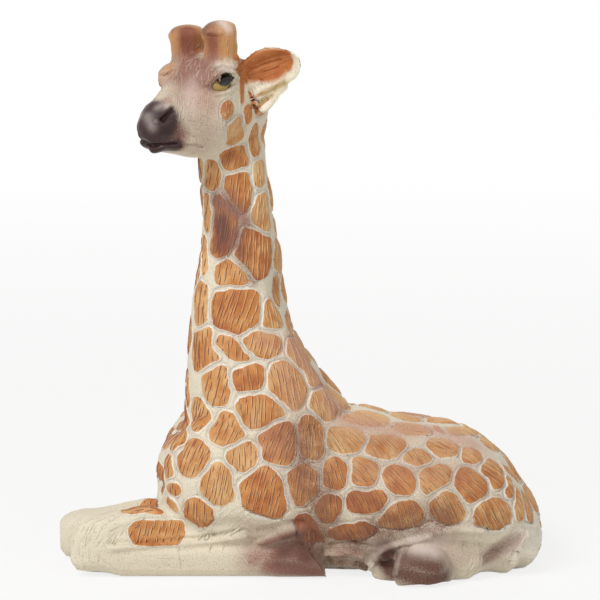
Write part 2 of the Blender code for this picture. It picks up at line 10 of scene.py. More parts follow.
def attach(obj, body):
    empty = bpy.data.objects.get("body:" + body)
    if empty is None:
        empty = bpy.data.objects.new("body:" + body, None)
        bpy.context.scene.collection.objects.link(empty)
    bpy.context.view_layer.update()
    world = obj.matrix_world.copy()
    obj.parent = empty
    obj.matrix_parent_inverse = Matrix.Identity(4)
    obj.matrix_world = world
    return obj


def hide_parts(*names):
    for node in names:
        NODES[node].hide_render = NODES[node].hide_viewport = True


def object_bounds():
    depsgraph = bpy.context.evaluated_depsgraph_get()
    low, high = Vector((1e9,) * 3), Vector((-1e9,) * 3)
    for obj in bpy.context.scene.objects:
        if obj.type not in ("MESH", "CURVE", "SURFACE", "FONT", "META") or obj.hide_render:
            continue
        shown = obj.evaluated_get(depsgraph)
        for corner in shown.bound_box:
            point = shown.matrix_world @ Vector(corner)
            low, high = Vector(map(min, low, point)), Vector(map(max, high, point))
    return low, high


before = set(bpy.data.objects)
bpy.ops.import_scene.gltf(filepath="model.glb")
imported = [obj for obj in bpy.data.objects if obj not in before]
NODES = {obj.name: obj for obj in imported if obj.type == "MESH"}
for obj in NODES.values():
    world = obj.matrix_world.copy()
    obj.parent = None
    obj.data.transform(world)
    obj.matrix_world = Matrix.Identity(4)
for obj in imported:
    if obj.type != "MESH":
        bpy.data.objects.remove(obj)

bl_info = {
    "name": "Hand-painted resin giraffe",
    "version": (1, 0, 0),
    "blender": (4, 5, 0),
    "location": "View3D > Sidebar > Giraffe",
    "description": "Dresses the cast giraffe figure in its carved and painted surface",
    "category": "Object",
}

MM = 0.001
CAD_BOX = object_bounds()
HEAD_PARTS = ("head", "left_ear", "right_ear", "left_ossicone", "right_ossicone")
LEGS = ("left_foreleg", "right_foreleg", "left_hind_leg", "right_hind_leg")
PARTS = ("torso", "neck", *HEAD_PARTS, *LEGS, "tail")
# How far the hidden end of a piece lies under the skin, mm
CAP_DEPTH = 0.9
# Room in mm between the skin and the castings' box for the raised strokes, but none below
STROKE_ROOM = np.array((0.13, 0.13, 0.01))
# Stands for any distance that is too large to matter
FAR_AWAY = 1000.0

# The camera's place, from the photograph: its picture is 600 pixels each way
VIEW_AIM = Vector((0.0, 0.0, 0.0484))
VIEW_AZIMUTH = math.radians(-4.0)
VIEW_ELEVATION = math.radians(9.0)
VIEW_DISTANCE = 0.45
VIEW_LENS = 150.0
VIEW_SENSOR = 36.0
PICTURE = 600
# What one of its pixels spans on the figure, mm
PIXEL_SIZE = 0.18

# The head's own frame: where it turns, and its turn to the animal's left
HEAD_MIDDLE = np.array((-13.0, 0.0, 74.3))
HEAD_TURN = math.radians(41.0)
HEAD_AHEAD = np.array((-math.cos(HEAD_TURN), -math.sin(HEAD_TURN), 0.0))
HEAD_LEFT = np.array((math.sin(HEAD_TURN), -math.cos(HEAD_TURN), 0.0))

# Coat patches by pixel: middle, half width, half height, and tone from tan to rust
PATCHES = (
    (229, 111, 4, 7, 0.45), (236, 131, 8, 13, 0.35), (247, 117, 4, 9, 0.40), (254, 141, 6, 14, 0.45),
    (237, 158, 12, 10, 0.55), (211, 176, 9, 13, 0.35), (260, 173, 5, 11, 0.25), (238, 191, 12, 18, 0.62),
    (263, 212, 9, 18, 0.30), (221, 225, 12, 30, 0.65), (207, 213, 6, 20, 0.30), (256, 253, 18, 20, 0.62),
    (203, 254, 5, 18, 0.25), (232, 274, 15, 11, 0.40), (276, 291, 8, 13, 0.50), (200, 303, 8, 20, 0.30),
    (236, 311, 23, 20, 0.50), (272, 316, 9, 13, 0.40), (290, 324, 6, 12, 0.50), (204, 348, 15, 18, 0.42),
    (262, 343, 16, 12, 0.45), (216, 386, 13, 17, 0.38), (248, 378, 12, 13, 0.62), (289, 385, 19, 19, 0.38),
    (187, 388, 5, 18, 0.25), (325, 402, 14, 16, 0.22), (260, 410, 20, 14, 0.42), (198, 416, 9, 15, 0.35),
    (228, 429, 14, 14, 0.38), (279, 446, 14, 18, 0.60), (311, 438, 10, 20, 0.55), (190, 457, 14, 16, 0.40),
    (168, 468, 6, 14, 0.38), (171, 490, 8, 8, 0.42), (167, 437, 8, 10, 0.22), (242, 457, 13, 12, 0.35),
    (218, 484, 12, 18, 0.28), (265, 493, 20, 21, 0.55), (300, 484, 14, 18, 0.50), (196, 514, 11, 14, 0.50),
    (156, 532, 23, 9, 0.42), (366, 417, 19, 12, 0.12), (415, 428, 18, 11, 0.15), (462, 431, 16, 7, 0.25),
    (345, 440, 18, 14, 0.28), (386, 447, 18, 12, 0.40), (416, 457, 15, 9, 0.32), (444, 447, 14, 10, 0.35),
    (471, 455, 9, 10, 0.50), (490, 444, 10, 8, 0.35), (494, 472, 12, 15, 0.55), (514, 470, 5, 10, 0.45),
    (335, 473, 11, 13, 0.55), (366, 471, 13, 12, 0.50), (399, 480, 13, 14, 0.62), (435, 477, 13, 13, 0.40),
    (472, 485, 14, 15, 0.62), (510, 487, 5, 10, 0.45), (520, 502, 7, 13, 0.40), (494, 513, 17, 12, 0.45),
    (448, 508, 13, 14, 0.30), (400, 518, 19, 14, 0.50), (369, 501, 19, 10, 0.72), (328, 509, 11, 12, 0.62),
    (355, 534, 22, 10, 0.68),
)
# Patches that lean, by the pixels of their two ends, half width and tone
LEANING_PATCHES = (
    (220, 341, 243, 357, 6, 0.45), (298, 350, 313, 376, 12, 0.30), (434, 416, 436, 430, 5, 0.40),
    (130, 509, 172, 503, 6, 0.38), (306, 522, 312, 538, 9, 0.85),
)
# Places without patches: pixels of a line and reach in mm, on both sides
BARE = (
    ([(378, 552), (396, 546)], 5.0), ([(412, 540), (450, 538)], 2.8), ([(476, 549), (510, 540)], 2.8),
    ([(520, 534), (540, 534)], 2.4), ([(524, 545), (538, 545)], 3.4), ([(536, 521), (543, 546)], 3.2),
    ([(338, 545), (350, 546)], 1.5), ([(524, 558), (538, 556)], 3.4), ([(328, 555), (366, 558)], 2.8),
    ([(334, 564), (360, 566)], 2.4), ([(515, 566), (532, 562)], 2.8), ([(474, 538), (510, 536)], 1.8),
    ([(506, 530), (518, 529)], 1.2), ([(454, 535), (478, 537)], 2.8), ([(428, 528), (440, 528)], 1.2),
    ([(250, 524), (282, 532)], 3.4), ([(157, 484), (160, 503)], 1.3), ([(318, 548), (325, 564)], 2.2),
)
# Patches by number that the far side has too
HEAD_TWINS = range(4)
FOREARM_TWINS = range(39, 41)
# Patches that fill the unseen coat: distance between middles in mm, random seed and most tries
FILL_SPACING = (5.2, 6.6)
FILL_SEED = 7
FILL_TRIES = 9000
# In mm: how high the coat starts over the base, how far back the nape starts from the head's middle,
# the brisket's foot without net by its x and z, and the flank's start and end by x
FLAT_FOOT = 3.2
NAPE_START = 1.5
BRISKET = (4, 10)
FLANK = (-2.0, 12.0)
# How patch edges stray: how far and over what length in mm, and the noise's seed
EDGE_WOBBLE = ((0.50, 2.6, 11), (0.16, 0.9, 21))
# How far from a patch its distance is still measured, mm
PATCH_SIGHT = 10.0
# Heights between which horn grows out of the skull, mm
HORN_ROOT = (91.0, 93.5)

# Pulls on the skin, before it is refined: pixel, reach in mm, shift in pixels, twin side
PULLS = (
    (60, 535, 3.6, (-2, 0), None), (66, 512, 4.5, (-1, 5), None), (92, 506, 6.0, (0, 5), None),
    (80, 560, 3.6, (-7, 1), None), (78, 540, 3.6, (-4, 0), None), (146, 515, 5.0, (0, -7), None),
    (137, 120, 3.6, (8, 0), None), (150, 100, 3.8, (17, 0), None), (142, 147, 2.2, (8, 0), None),
    (156, 150, 1.8, (-3, 3), None), (541, 552, 3.0, (5, 2), None), (536, 562, 2.6, (3, 3), None),
    (300, 66, 3.0, (-5, 1), "head"), (290, 88, 3.2, (-8, -1), "head"), (262, 48, 2.4, (0, 2), "head"),
    (281, 99, 2.4, (-5, 0), "head"), (265, 103, 2.0, (-2, 8), "head"), (199, 215, 7.0, (4, 0), None),
    (196, 255, 8.0, (5, 0), None), (266, 122, 5.0, (-6, 0), None), (278, 245, 6.0, (-3, 0), None),
    (284, 280, 7.0, (-8, 0), None), (292, 305, 7.0, (-9, 0), None), (308, 335, 8.0, (-9, 2), None),
    (326, 366, 8.0, (-9, 3), None), (340, 390, 6.0, (-4, 3), None), (364, 408, 5.0, (0, -3), "body"),
    (420, 418, 7.0, (0, 3), "body"), (484, 430, 12.0, (-3, 2), "body"), (514, 460, 12.0, (-4, 2), "body"),
    (534, 494, 10.0, (-5, 3), "body"), (172, 425, 6.0, (1, 2), None), (164, 455, 5.0, (-4, 0), None),
    (158, 490, 3.6, (6, 0), None), (420, 585, 5.0, (0, -4), None), (448, 580, 4.0, (-1, -6), None),
    (494, 575, 5.0, (0, -14), None), (516, 568, 4.0, (0, -6), None), (538, 550, 3.4, (0, -10), None),
    (96, 574, 5.0, (0, -5), None), (240, 33, 2.6, (-5, 0), None), (204, 34, 2.0, (-3, 0), None),
    (156, 508, 4.0, (-2, -7), None), (146, 506, 4.0, (-1, -3), None), (132, 509, 4.5, (0, -5), None),
    (294, 80, 2.2, (-7, 0), "head"), (270, 174, 6.0, (-4, 0), None),
)
# Carved forms: pixels of a line, reach and height in mm (below zero cuts in), twin side
FORMS = (
    # horns: flat fronts under a domed cap
    ([(213, 38), (214, 50)], 1.9, -0.35, None), ([(187, 34), (188, 50)], 1.7, -0.40, None),
    ([(203, 31), (213, 33), (222, 32)], 0.8, 0.25, None),
    # brow folds over the eyes, the flat forehead and the notch under the brow
    ([(212, 70), (220, 66), (232, 69)], 1.2, 0.45, "head"), ([(186, 74), (184, 92)], 2.6, -0.45, "head"),
    ([(206, 96), (196, 112)], 3.0, 0.25, "head"), ([(159, 94), (155, 103)], 3.4, -0.9, None),
    ([(215, 86), (231, 80)], 1.6, -0.70, "head"), ([(218, 81), (224, 77)], 1.1, -0.45, "head"),
    # muzzle: swollen nostril rims and the flat between them
    ([(160, 104), (168, 106), (174, 112)], 1.3, 0.35, "head"),
    ([(158, 122), (163, 126), (170, 124)], 1.5, 0.30, "head"),
    ([(146, 120), (150, 132)], 1.8, -0.20, "head"),
    # upper lip hanging over the lower, and the chin under it
    ([(144, 138), (152, 141), (164, 140), (176, 140)], 1.1, 0.30, "head"),
    ([(184, 153), (190, 153)], 1.2, 0.45, "head"),
    # bumps of hair behind the near horn
    ([(236, 57), (237, 59)], 0.9, 0.50, "head"), ([(244, 60), (245, 62)], 0.9, 0.50, "head"),
    # bowls of the ears
    ([(256, 72), (270, 66), (287, 60)], 2.6, -0.75, "head"),
    ([(262, 92), (272, 90), (282, 84)], 1.1, 0.35, "head"), ([(240, 66), (243, 71)], 1.2, 0.50, "head"),
    ([(252, 95), (257, 102)], 1.0, 0.40, "head"),
    # forearm sunk above the cannon, whose top edge is a ridge
    ([(118, 534), (160, 532), (205, 528), (238, 524)], 2.2, -0.60, "body"),
    ([(112, 548), (160, 545), (198, 543), (246, 536)], 0.9, 0.45, "body"),
    ([(84, 520), (82, 540), (86, 560)], 2.8, 0.30, "body"),
    ([(262, 541), (286, 534), (301, 530)], 1.8, 0.75, "body"),
    ([(278, 549), (296, 544)], 3.0, 0.45, "body"),
    ([(278, 546), (290, 542), (303, 538)], 1.5, 0.50, "body"),
    ([(262, 531), (286, 524), (303, 522)], 1.1, -0.45, "body"),
    ([(302, 532), (310, 547), (319, 564)], 1.0, 0.45, "body"),
    ([(313, 532), (321, 548), (329, 564)], 1.1, -0.55, "body"),
    # brisket and belly roll
    ([(183, 438), (177, 470), (179, 498)], 1.0, -0.55, None),
    ([(327, 552), (345, 550), (362, 554), (370, 561)], 1.0, 1.10, "body"),
    ([(328, 545), (352, 542), (370, 547)], 0.8, -0.80, "body"),
    ([(332, 563), (350, 562), (366, 567)], 0.9, 0.80, "body"),
    ([(340, 562), (341, 568)], 0.6, -0.50, "body"), ([(357, 562), (358, 569)], 0.6, -0.50, "body"),
    # hind foot: hollow beside the big toe, recess behind it and the haunch's block
    ([(384, 562), (390, 566)], 2.6, -1.60, "body"), ([(379, 557), (384, 554)], 1.5, 1.30, "body"),
    ([(384, 557), (391, 556)], 1.5, 1.00, "body"),
    ([(372, 568), (374, 558), (382, 549), (395, 544), (407, 541)], 0.9, 0.90, "body"),
    ([(404, 546), (400, 558), (396, 574)], 0.9, 0.90, "body"),
    ([(407, 541), (430, 536)], 0.8, 0.60, "body"),
    ([(490, 556), (500, 549), (514, 540)], 2.4, -1.30, "body"),
    ([(512, 563), (520, 546), (527, 534)], 0.9, 0.60, "body"),
    ([(436, 532), (460, 530), (483, 531)], 1.0, 0.50, "body"),
    ([(462, 545), (474, 556)], 1.4, -0.50, "body"),
    ([(416, 549), (432, 556), (440, 566)], 2.8, 0.50, "body"),
)
# Fine cuts, made once the skin is refined: pixels, reach, height, twin side
CUTS = (
    # lids
    ([(207, 84), (215, 75), (225, 70), (234, 72), (238, 78)], 0.50, 0.40, "head"),
    ([(205, 91), (216, 95), (227, 93), (236, 86)], 0.50, 0.35, "head"),
    ([(213, 70), (224, 66), (235, 70)], 0.45, -0.40, "head"),
    # nostrils and mouth
    ([(163, 119), (168, 113), (173, 109)], 0.75, -0.85, "head"),
    ([(139, 139), (146, 144), (153, 146), (164, 145), (177, 144)], 0.50, -0.60, "head"),
    ([(188, 145), (196, 146), (203, 148)], 0.50, -0.40, "head"),
    ([(160, 76), (166, 75), (173, 71)], 0.50, -0.35, None),
    # hair lines in the ears
    ([(250, 77), (264, 72), (278, 68)], 0.45, -0.35, "head"),
    ([(252, 70), (266, 64), (280, 60)], 0.45, -0.30, "head"),
    ([(257, 64), (270, 58), (284, 55)], 0.45, -0.30, "head"),
    ([(262, 79), (276, 75), (286, 68)], 0.45, -0.30, "head"),
    ([(252, 99), (260, 101), (267, 99)], 0.45, -0.40, "head"),
    ([(253, 106), (260, 108)], 0.45, -0.35, "head"),
    # the line between forearm and cannon, and round the hoof
    ([(110, 543), (150, 541), (198, 538), (244, 530)], 0.60, -0.55, "body"),
    ([(246, 531), (252, 541), (262, 538), (274, 531)], 0.60, -0.40, "body"),
    ([(329, 557), (348, 556), (364, 561)], 0.45, -0.50, "body"),
    ([(515, 528), (530, 527), (542, 528)], 0.50, -0.30, None),
)


# Carved hair: pixels of a line that the strokes follow, reach in mm, density, twin side
COMBS = (
    # knees and elbows
    ([(112, 514), (92, 522), (83, 540), (84, 566)], 2.6, 0.9, "body"),
    ([(134, 522), (110, 532), (98, 548), (97, 568)], 2.2, 0.8, "body"),
    ([(204, 536), (218, 520), (232, 508)], 2.4, 1.0, "body"),
    ([(226, 536), (238, 522), (246, 514)], 2.0, 0.9, "body"),
    ([(110, 560), (170, 556), (240, 552)], 1.6, 0.16, "body"),
    # forehead, cheeks and jaw
    ([(176, 52), (176, 92)], 3.2, 0.8, None), ([(196, 56), (192, 96)], 3.4, 0.8, "head"),
    ([(208, 72), (206, 110)], 3.0, 0.6, "head"), ([(222, 96), (222, 130)], 3.0, 0.5, "head"),
    ([(190, 100), (196, 132)], 2.6, 0.35, "head"), ([(206, 134), (214, 146)], 2.6, 0.4, "head"),
    ([(241, 62), (241, 104)], 2.0, 1.0, "head"), ([(222, 30), (220, 56)], 3.2, 0.5, "head"),
    ([(178, 34), (180, 56)], 2.6, 0.5, None),
    # ears
    ([(246, 78), (268, 70), (288, 58)], 3.0, 0.6, "head"),
    ([(250, 106), (264, 95), (280, 86)], 2.4, 1.0, "head"),
    # pasterns and haunch
    ([(466, 542), (466, 564)], 2.0, 0.9, "body"), ([(478, 540), (480, 562)], 1.6, 0.9, "body"),
    ([(506, 562), (522, 538)], 1.6, 0.8, "body"),
)


def linear(code):
    """The linear colour of an sRGB hex value."""
    shades = [int(code[i:i + 2], 16) / 255 for i in (1, 3, 5)]
    return tuple(s / 12.92 if s <= 0.04045 else ((s + 0.055) / 1.055) ** 2.4 for s in shades)


def colour(name, code, words):
    """A colour property, from an sRGB hex value."""
    return FloatVectorProperty(
        name=name, description=words, subtype="COLOR", size=3, min=0.0, max=1.0, default=linear(code)
    )


class GIRAFFE_PG_relief(bpy.types.PropertyGroup):
    """Sizes of the carved surface, in millimetres."""
    grain: FloatProperty(
        name="Surface grain", description="Spacing of the surface's points, mm", default=0.30, min=0.2)
    quick_grain: FloatProperty(
        name="Quick grain", description="Spacing for a quick look, mm", default=0.46, min=0.2)
    join: FloatProperty(
        name="Join", description="How far castings grow to close their glue gaps, mm", default=0.42)
    net_depth: FloatProperty(
        name="Net depth", description="Depth of the channels between patches, mm", default=0.30)
    net_width: FloatProperty(
        name="Net width", description="Width of the channels between patches, mm", default=0.66)
    smoothing: IntProperty(name="Smoothing", description="Rounds of smoothing", default=40, min=0)


class GIRAFFE_PG_paint(bpy.types.PropertyGroup):
    """Colours of the hand-painted coat."""
    cream: colour("Cream", "#E6DCC5", "Base coat, the net between the patches")
    # Brown spray low on the shoulder and flank; the same colour is painted shade under the belly roll, along
    # the folded foreleg's cannon and in the floors of the net's channels
    spray_and_shade: colour("Shade", "#845A42", "Thin brown spray low on the shoulder and flank")
    tan: colour("Tan", "#E4B982", "Lightest patches")
    ginger: colour("Ginger", "#CE8A4C", "Middle patches")
    blush: colour("Blush", "#C8937B", "Pink wash over the back, shoulder and forehead")
    rust: colour("Rust", "#A9562F", "Darkest patches and ear bowls")
    # Painted highlights on the near horn's top, the muzzle, the upper lids and the hind toe's edges and top,
    # and a paler strip down the forehead
    pale: colour("Pale", "#EAD9CE", "Pinkish highlights of the head")
    # Painted highlight on the lips of the channels, and the paler cream of the whole net
    light: colour("Light", "#F7F0E2", "Lips of the channels, brushed lighter")
    # Paint settled in the carved strokes, and painted shade on the flank of each raised stroke that faces
    # away from the light
    settled_paint_and_shade: colour("Groove", "#883B20", "Paint that settled in the carved strokes")
    horn: colour("Horn", "#D09A64", "Sides of the horns")
    brown: colour("Brown", "#8A4F3A", "Fronts of the horns")
    mauve: colour("Mauve", "#95685B", "Sprayed mauve of forehead and shoulder")
    # Umber of the hooves, and painted shade in the hollow beside the hind foot's big toe
    umber: colour("Umber", "#664338", "Sprayed umber of the hooves")
    plum: colour("Plum", "#35201F", "Dark spray of the muzzle")
    black: colour("Black", "#14110F", "Eyes")
    ochre: colour("Ochre", "#A88A4E", "Front corner of the eyes")


class GIRAFFE_PG_stage(bpy.types.PropertyGroup):
    """The floor and lights round the figure."""
    floor: colour("Floor", "#F4F3F0", "Pale floor")
    key: FloatProperty(name="Key light", description="Power of the key light", default=3.4, min=0.0)
    fill: FloatProperty(name="Fill light", description="Power of the fill light", default=0.55, min=0.0)
    sky: FloatProperty(name="Sky", description="Strength of the light from all round", default=0.30, min=0.0)


# Places by pixel and by the head's own frame

def camera_axes():
    flat = math.cos(VIEW_ELEVATION)
    towards = Vector((
        math.sin(VIEW_AZIMUTH) * flat, -math.cos(VIEW_AZIMUTH) * flat, math.sin(VIEW_ELEVATION)
    ))
    right = Vector((math.cos(VIEW_AZIMUTH), math.sin(VIEW_AZIMUTH), 0.0))
    return towards, right, towards.cross(right)


def sight_line(px, py):
    """Where the camera stands and the direction in which it sees a pixel."""
    towards, right, up = camera_axes()
    across = (px / PICTURE - 0.5) * VIEW_SENSOR
    rise = (0.5 - py / PICTURE) * VIEW_SENSOR
    aim = right * across + up * rise - towards * VIEW_LENS
    return VIEW_AIM + towards * VIEW_DISTANCE, aim.normalized()


def touch(tree, px, py, near=None):
    """The point and normal of the skin at a pixel, in millimetres, or the nearest to it."""
    eye, aim = sight_line(px, py)
    point, normal, _, _ = tree.ray_cast(eye / MM, aim)
    if point is None:
        place = (eye + aim * VIEW_DISTANCE) / MM if near is None else Vector(near)
        point, normal, _, _ = tree.find_nearest(place)
    return np.array(point), np.array(normal)


def trace(tree, pixels, step=3.0):
    """Points on the skin along a line of pixels."""
    line = []
    for (x0, y0), (x1, y1) in zip(pixels, pixels[1:]):
        count = max(1, round(math.hypot(x1 - x0, y1 - y0) / step))
        line.extend((x0 + (x1 - x0) * k / count, y0 + (y1 - y0) * k / count) for k in range(count))
    line.append(pixels[-1])
    path = [touch(tree, *line[0])[0]]
    for pixel in line[1:]:
        path.append(touch(tree, *pixel, near=path[-1])[0])
    return np.array(path)


def mirrored(points, on_head):
    """The same places on the other side of the head or of the body."""
    if on_head:
        return points - 2 * ((points - HEAD_MIDDLE) @ HEAD_LEFT)[..., None] * HEAD_LEFT
    return points * (1.0, -1.0, 1.0)


def mirrored_way(way, on_head):
    """The same direction on the other side of the head or of the body."""
    middle = HEAD_MIDDLE if on_head else np.zeros(3)
    return mirrored(way + middle, on_head) - middle


def with_twin(points, way, twin):
    """Some points and a direction, and those on the other side if they have a twin there."""
    places = [(points, way)]
    if twin:
        places.append((mirrored(points, twin == "head"), mirrored_way(way, twin == "head")))
    return places


def traced(tree, pixels, twin):
    """The path of a line of pixels over the skin, and its twin's if it has one."""
    path = trace(tree, pixels)
    return [path, mirrored(path, twin == "head")] if twin else [path]


def unit(ways):
    return ways / np.maximum(np.linalg.norm(ways, axis=-1, keepdims=True), 1e-9)


def placed(name, data):
    """A new object in the scene."""
    made = bpy.data.objects.new(name, data)
    bpy.context.scene.collection.objects.link(made)
    return made


# Numbers over the whole skin

def lattice_noise(points, scale, seed):
    """Smooth random numbers from -1 to 1 over points in millimetres."""
    cell = points / scale
    base = np.floor(cell).astype(np.int64)
    part = cell - base
    part = part * part * (3 - 2 * part)
    total = np.zeros(len(points))
    for corner in range(8):
        step = np.array((corner & 1, corner >> 1 & 1, corner >> 2 & 1))
        grid = base + step
        mixed = grid[:, 0] * 73856093 ^ grid[:, 1] * 19349663 ^ grid[:, 2] * 83492791 ^ seed * 265443
        mixed = (mixed ^ mixed >> 13) * 1274126177 & 0xFFFFFF
        weight = np.prod(np.where(step == 1, part, 1 - part), axis=1)
        total += weight * (mixed / 0x7FFFFF - 1)
    return total


def ramp(values, low, high):
    share = np.clip((values - low) / (high - low), 0, 1)
    return share * share * (3 - 2 * share)


def soft_least(first, second, soft):
    """The smaller of two distances, rounded over where they are alike."""
    share = np.clip(0.5 + (second - first) / (2 * soft), 0, 1)
    return second + (first - second) * share - soft * share * (1 - share)


def path_lie(points, path, within):
    """Distance from each point to a line of points, and the line's direction there.

    Points farther than the given distance are only known to be far.
    """
    best = np.full(len(points), FAR_AWAY)
    lie = np.zeros((len(points), 3))
    inside = (points > path.min(axis=0) - within) & (points < path.max(axis=0) + within)
    close = np.flatnonzero(inside.all(axis=1))
    near, least, way = points[close], best[close], lie[close]
    for start, end in zip(path, path[1:]):
        along = end - start
        share = np.clip((near - start) @ along / max(along @ along, 1e-9), 0, 1)
        distance = np.linalg.norm(near - start - share[:, None] * along, axis=1)
        nearer = distance < least
        least[nearer] = distance[nearer]
        way[nearer] = along
    best[close], lie[close] = least, way
    return best, unit(lie)


def path_distance(points, path, within):
    """Distance from each point to a line of points."""
    return path_lie(points, path, within)[0]


def joined_groups(count, edges):
    """A number for each point that is the same for all points joined by edges."""
    group = np.arange(count)
    while True:
        low = np.minimum(group[edges[:, 0]], group[edges[:, 1]])
        new = group.copy()
        np.minimum.at(new, group[edges[:, 0]], low)
        np.minimum.at(new, group[edges[:, 1]], low)
        new = new[new]
        if np.array_equal(new, group):
            return group
        group = new


def sides(faces):
    """The two ends of each side of each face."""
    return np.stack([faces, np.roll(faces, -1, axis=1)], axis=2)


def point_normals(corners, normals, count):
    """The normal of each point, from those at the corners of the faces round it."""
    total = np.stack([np.bincount(corners, normals[:, k], count) for k in range(3)], axis=1)
    return total / np.maximum(np.linalg.norm(total, axis=1, keepdims=True), 1e-12)


class Skin:
    """The whole painted surface: points in millimetres, four-sided faces, the part of each."""

    def __init__(self, points, faces):
        self.points = points
        self.faces = faces
        self.parts = np.zeros(len(faces), int)
        self.values = {}

    def edges(self):
        pairs = sides(self.faces).reshape(-1, 2)
        pairs.sort(axis=1)
        keys = np.unique(pairs[:, 0] * len(self.points) + pairs[:, 1])
        return np.stack([keys // len(self.points), keys % len(self.points)], axis=1)

    def normals(self):
        a, b, c, d = (self.points[self.faces[:, k]] for k in range(4))
        face = np.repeat(np.cross(c - a, d - b), 4, axis=0)
        return point_normals(self.faces.ravel(), face, len(self.points))

    def tree(self):
        return BVHTree.FromPolygons(self.points.tolist(), self.faces.tolist())

    def part_weight(self, names):
        """For each point, how far it belongs to the named parts."""
        chosen = np.isin(self.parts, [PARTS.index(name) for name in names]).astype(float)
        total = np.bincount(self.faces.ravel(), np.repeat(chosen, 4), len(self.points))
        count = np.bincount(self.faces.ravel(), minlength=len(self.points))
        return total / np.maximum(count, 1)

    def smooth(self, rounds, weight=1.0, shrink=0.5, swell=-0.52):
        """Evens out the surface without shrinking it."""
        edges = self.edges()
        count = len(self.points)
        degree = np.maximum(np.bincount(edges.ravel(), minlength=count), 1)[:, None]
        weight = np.broadcast_to(np.asarray(weight, float), count)[:, None]
        for _ in range(rounds):
            for factor in (shrink, swell):
                total = np.stack([
                    np.bincount(edges[:, 0], self.points[edges[:, 1], k], count)
                    + np.bincount(edges[:, 1], self.points[edges[:, 0], k], count)
                    for k in range(3)
                ], axis=1)
                self.points = self.points + factor * weight * (total / degree - self.points)

    def refine(self, names):
        """Cuts each face of the named parts in four."""
        chosen = np.isin(self.parts, [PARTS.index(name) for name in names])
        picked = self.faces[chosen]
        start = len(self.points)
        pairs = sides(picked).reshape(-1, 2)
        pairs.sort(axis=1)
        keys, where = np.unique(pairs[:, 0] * start + pairs[:, 1], return_inverse=True)
        ends = np.stack([keys // start, keys % start], axis=1)
        middle = start + where.reshape(-1, 4)
        centre = start + len(ends) + np.arange(len(picked))
        quarters = [
            np.stack([picked[:, k], middle[:, k], centre, middle[:, k - 1]], axis=1) for k in range(4)
        ]
        self.points = np.concatenate([
            self.points, self.points[ends].mean(axis=1), self.points[picked].mean(axis=1)
        ])
        self.faces = np.concatenate([self.faces[~chosen], *quarters])
        self.parts = np.concatenate([self.parts[~chosen], *[self.parts[chosen]] * 4])

    def keep_largest(self):
        """Drops the hollows that were closed in between the castings."""
        group = joined_groups(len(self.points), self.edges())
        names, counts = np.unique(group, return_counts=True)
        kept = group == names[counts.argmax()]
        index = np.cumsum(kept) - 1
        faces = self.faces[kept[self.faces[:, 0]]]
        self.points, self.faces = self.points[kept], index[faces]
        self.parts = np.zeros(len(self.faces), int)


# The skin's first shape

def merged_copy(name, grow):
    """The points, in millimetres, and triangles of a casting, grown along its normals."""
    source = NODES[name].data
    points = np.array([vertex.co for vertex in source.vertices]) / MM
    source.calc_loop_triangles()
    triangles = np.array([triangle.vertices for triangle in source.loop_triangles])
    _, first, where = np.unique(np.round(points, 4), axis=0, return_index=True, return_inverse=True)
    points, triangles = points[first], where.ravel()[triangles]
    a, b, c = (points[triangles[:, k]] for k in range(3))
    normals = point_normals(triangles.ravel(), np.repeat(np.cross(b - a, c - a), 3, axis=0), len(points))
    return points, points + normals * grow, triangles


def fused_skin(relief):
    """One closed skin over all the castings, with the part that each face belongs to."""
    plain, fat, triangles, owner = [], [], [], []
    count = 0
    for index, name in enumerate(PARTS):
        points, grown, faces = merged_copy(name, relief.join)
        plain.append(points)
        fat.append(grown)
        triangles.append(faces + count)
        owner.extend([index] * len(faces))
        count += len(points)
    plain, fat, triangles = np.concatenate(plain), np.concatenate(fat), np.concatenate(triangles)
    mesh = bpy.data.meshes.new("castings")
    mesh.from_pydata((fat * MM).tolist(), [], triangles.tolist())
    scrap = placed("castings", mesh)
    remesh = scrap.modifiers.new("remesh", "REMESH")
    remesh.mode = "VOXEL"
    remesh.voxel_size = relief.grain * MM
    graph = bpy.context.evaluated_depsgraph_get()
    made = scrap.evaluated_get(graph).to_mesh()
    points = np.empty(len(made.vertices) * 3)
    made.vertices.foreach_get("co", points)
    corners = np.empty(len(made.loops), int)
    made.loops.foreach_get("vertex_index", corners)
    if {polygon.loop_total for polygon in made.polygons} != {4}:
        raise RuntimeError("The remeshed skin has faces that are not four-sided")
    scrap.evaluated_get(graph).to_mesh_clear()
    bpy.data.objects.remove(scrap)
    bpy.data.meshes.remove(mesh)
    skin = Skin(points.reshape(-1, 3) / MM, corners.reshape(-1, 4))
    skin.keep_largest()
    skin.points = skin.points - skin.normals() * relief.join
    tree = BVHTree.FromPolygons(plain.tolist(), triangles.tolist())
    nearest = np.array([tree.find_nearest(point)[2] for point in skin.points.tolist()])
    skin.parts = settle_parts(skin, np.array(owner)[nearest][skin.faces])
    return skin


def settle_parts(skin, corner_parts):
    """One part for each face, with no stray islands."""
    votes = np.stack([(corner_parts == index).sum(axis=1) for index in range(len(PARTS))], axis=1)
    parts = votes.argmax(axis=1)
    for _ in range(6):
        shares = np.zeros((len(skin.points), len(PARTS)))
        for k in range(4):
            np.add.at(shares, (skin.faces[:, k], parts), 1)
        parts = shares[skin.faces].sum(axis=1).argmax(axis=1)
    pairs = sides(skin.faces)
    for index in range(len(PARTS)):
        mine = np.flatnonzero(parts == index)
        links = pairs[mine].reshape(-1, 2)
        group = joined_groups(len(skin.points), links)[skin.faces[mine, 0]]
        names, counts = np.unique(group, return_counts=True)
        for stray in names[counts < counts.max()]:
            island = mine[group == stray]
            touching = np.isin(skin.faces, skin.faces[island]).any(axis=1)
            touching[island] = False
            around = parts[touching]
            around = around[around != index]
            if len(around):
                parts[island] = np.bincount(around).argmax()
    return parts


# The coat's patches

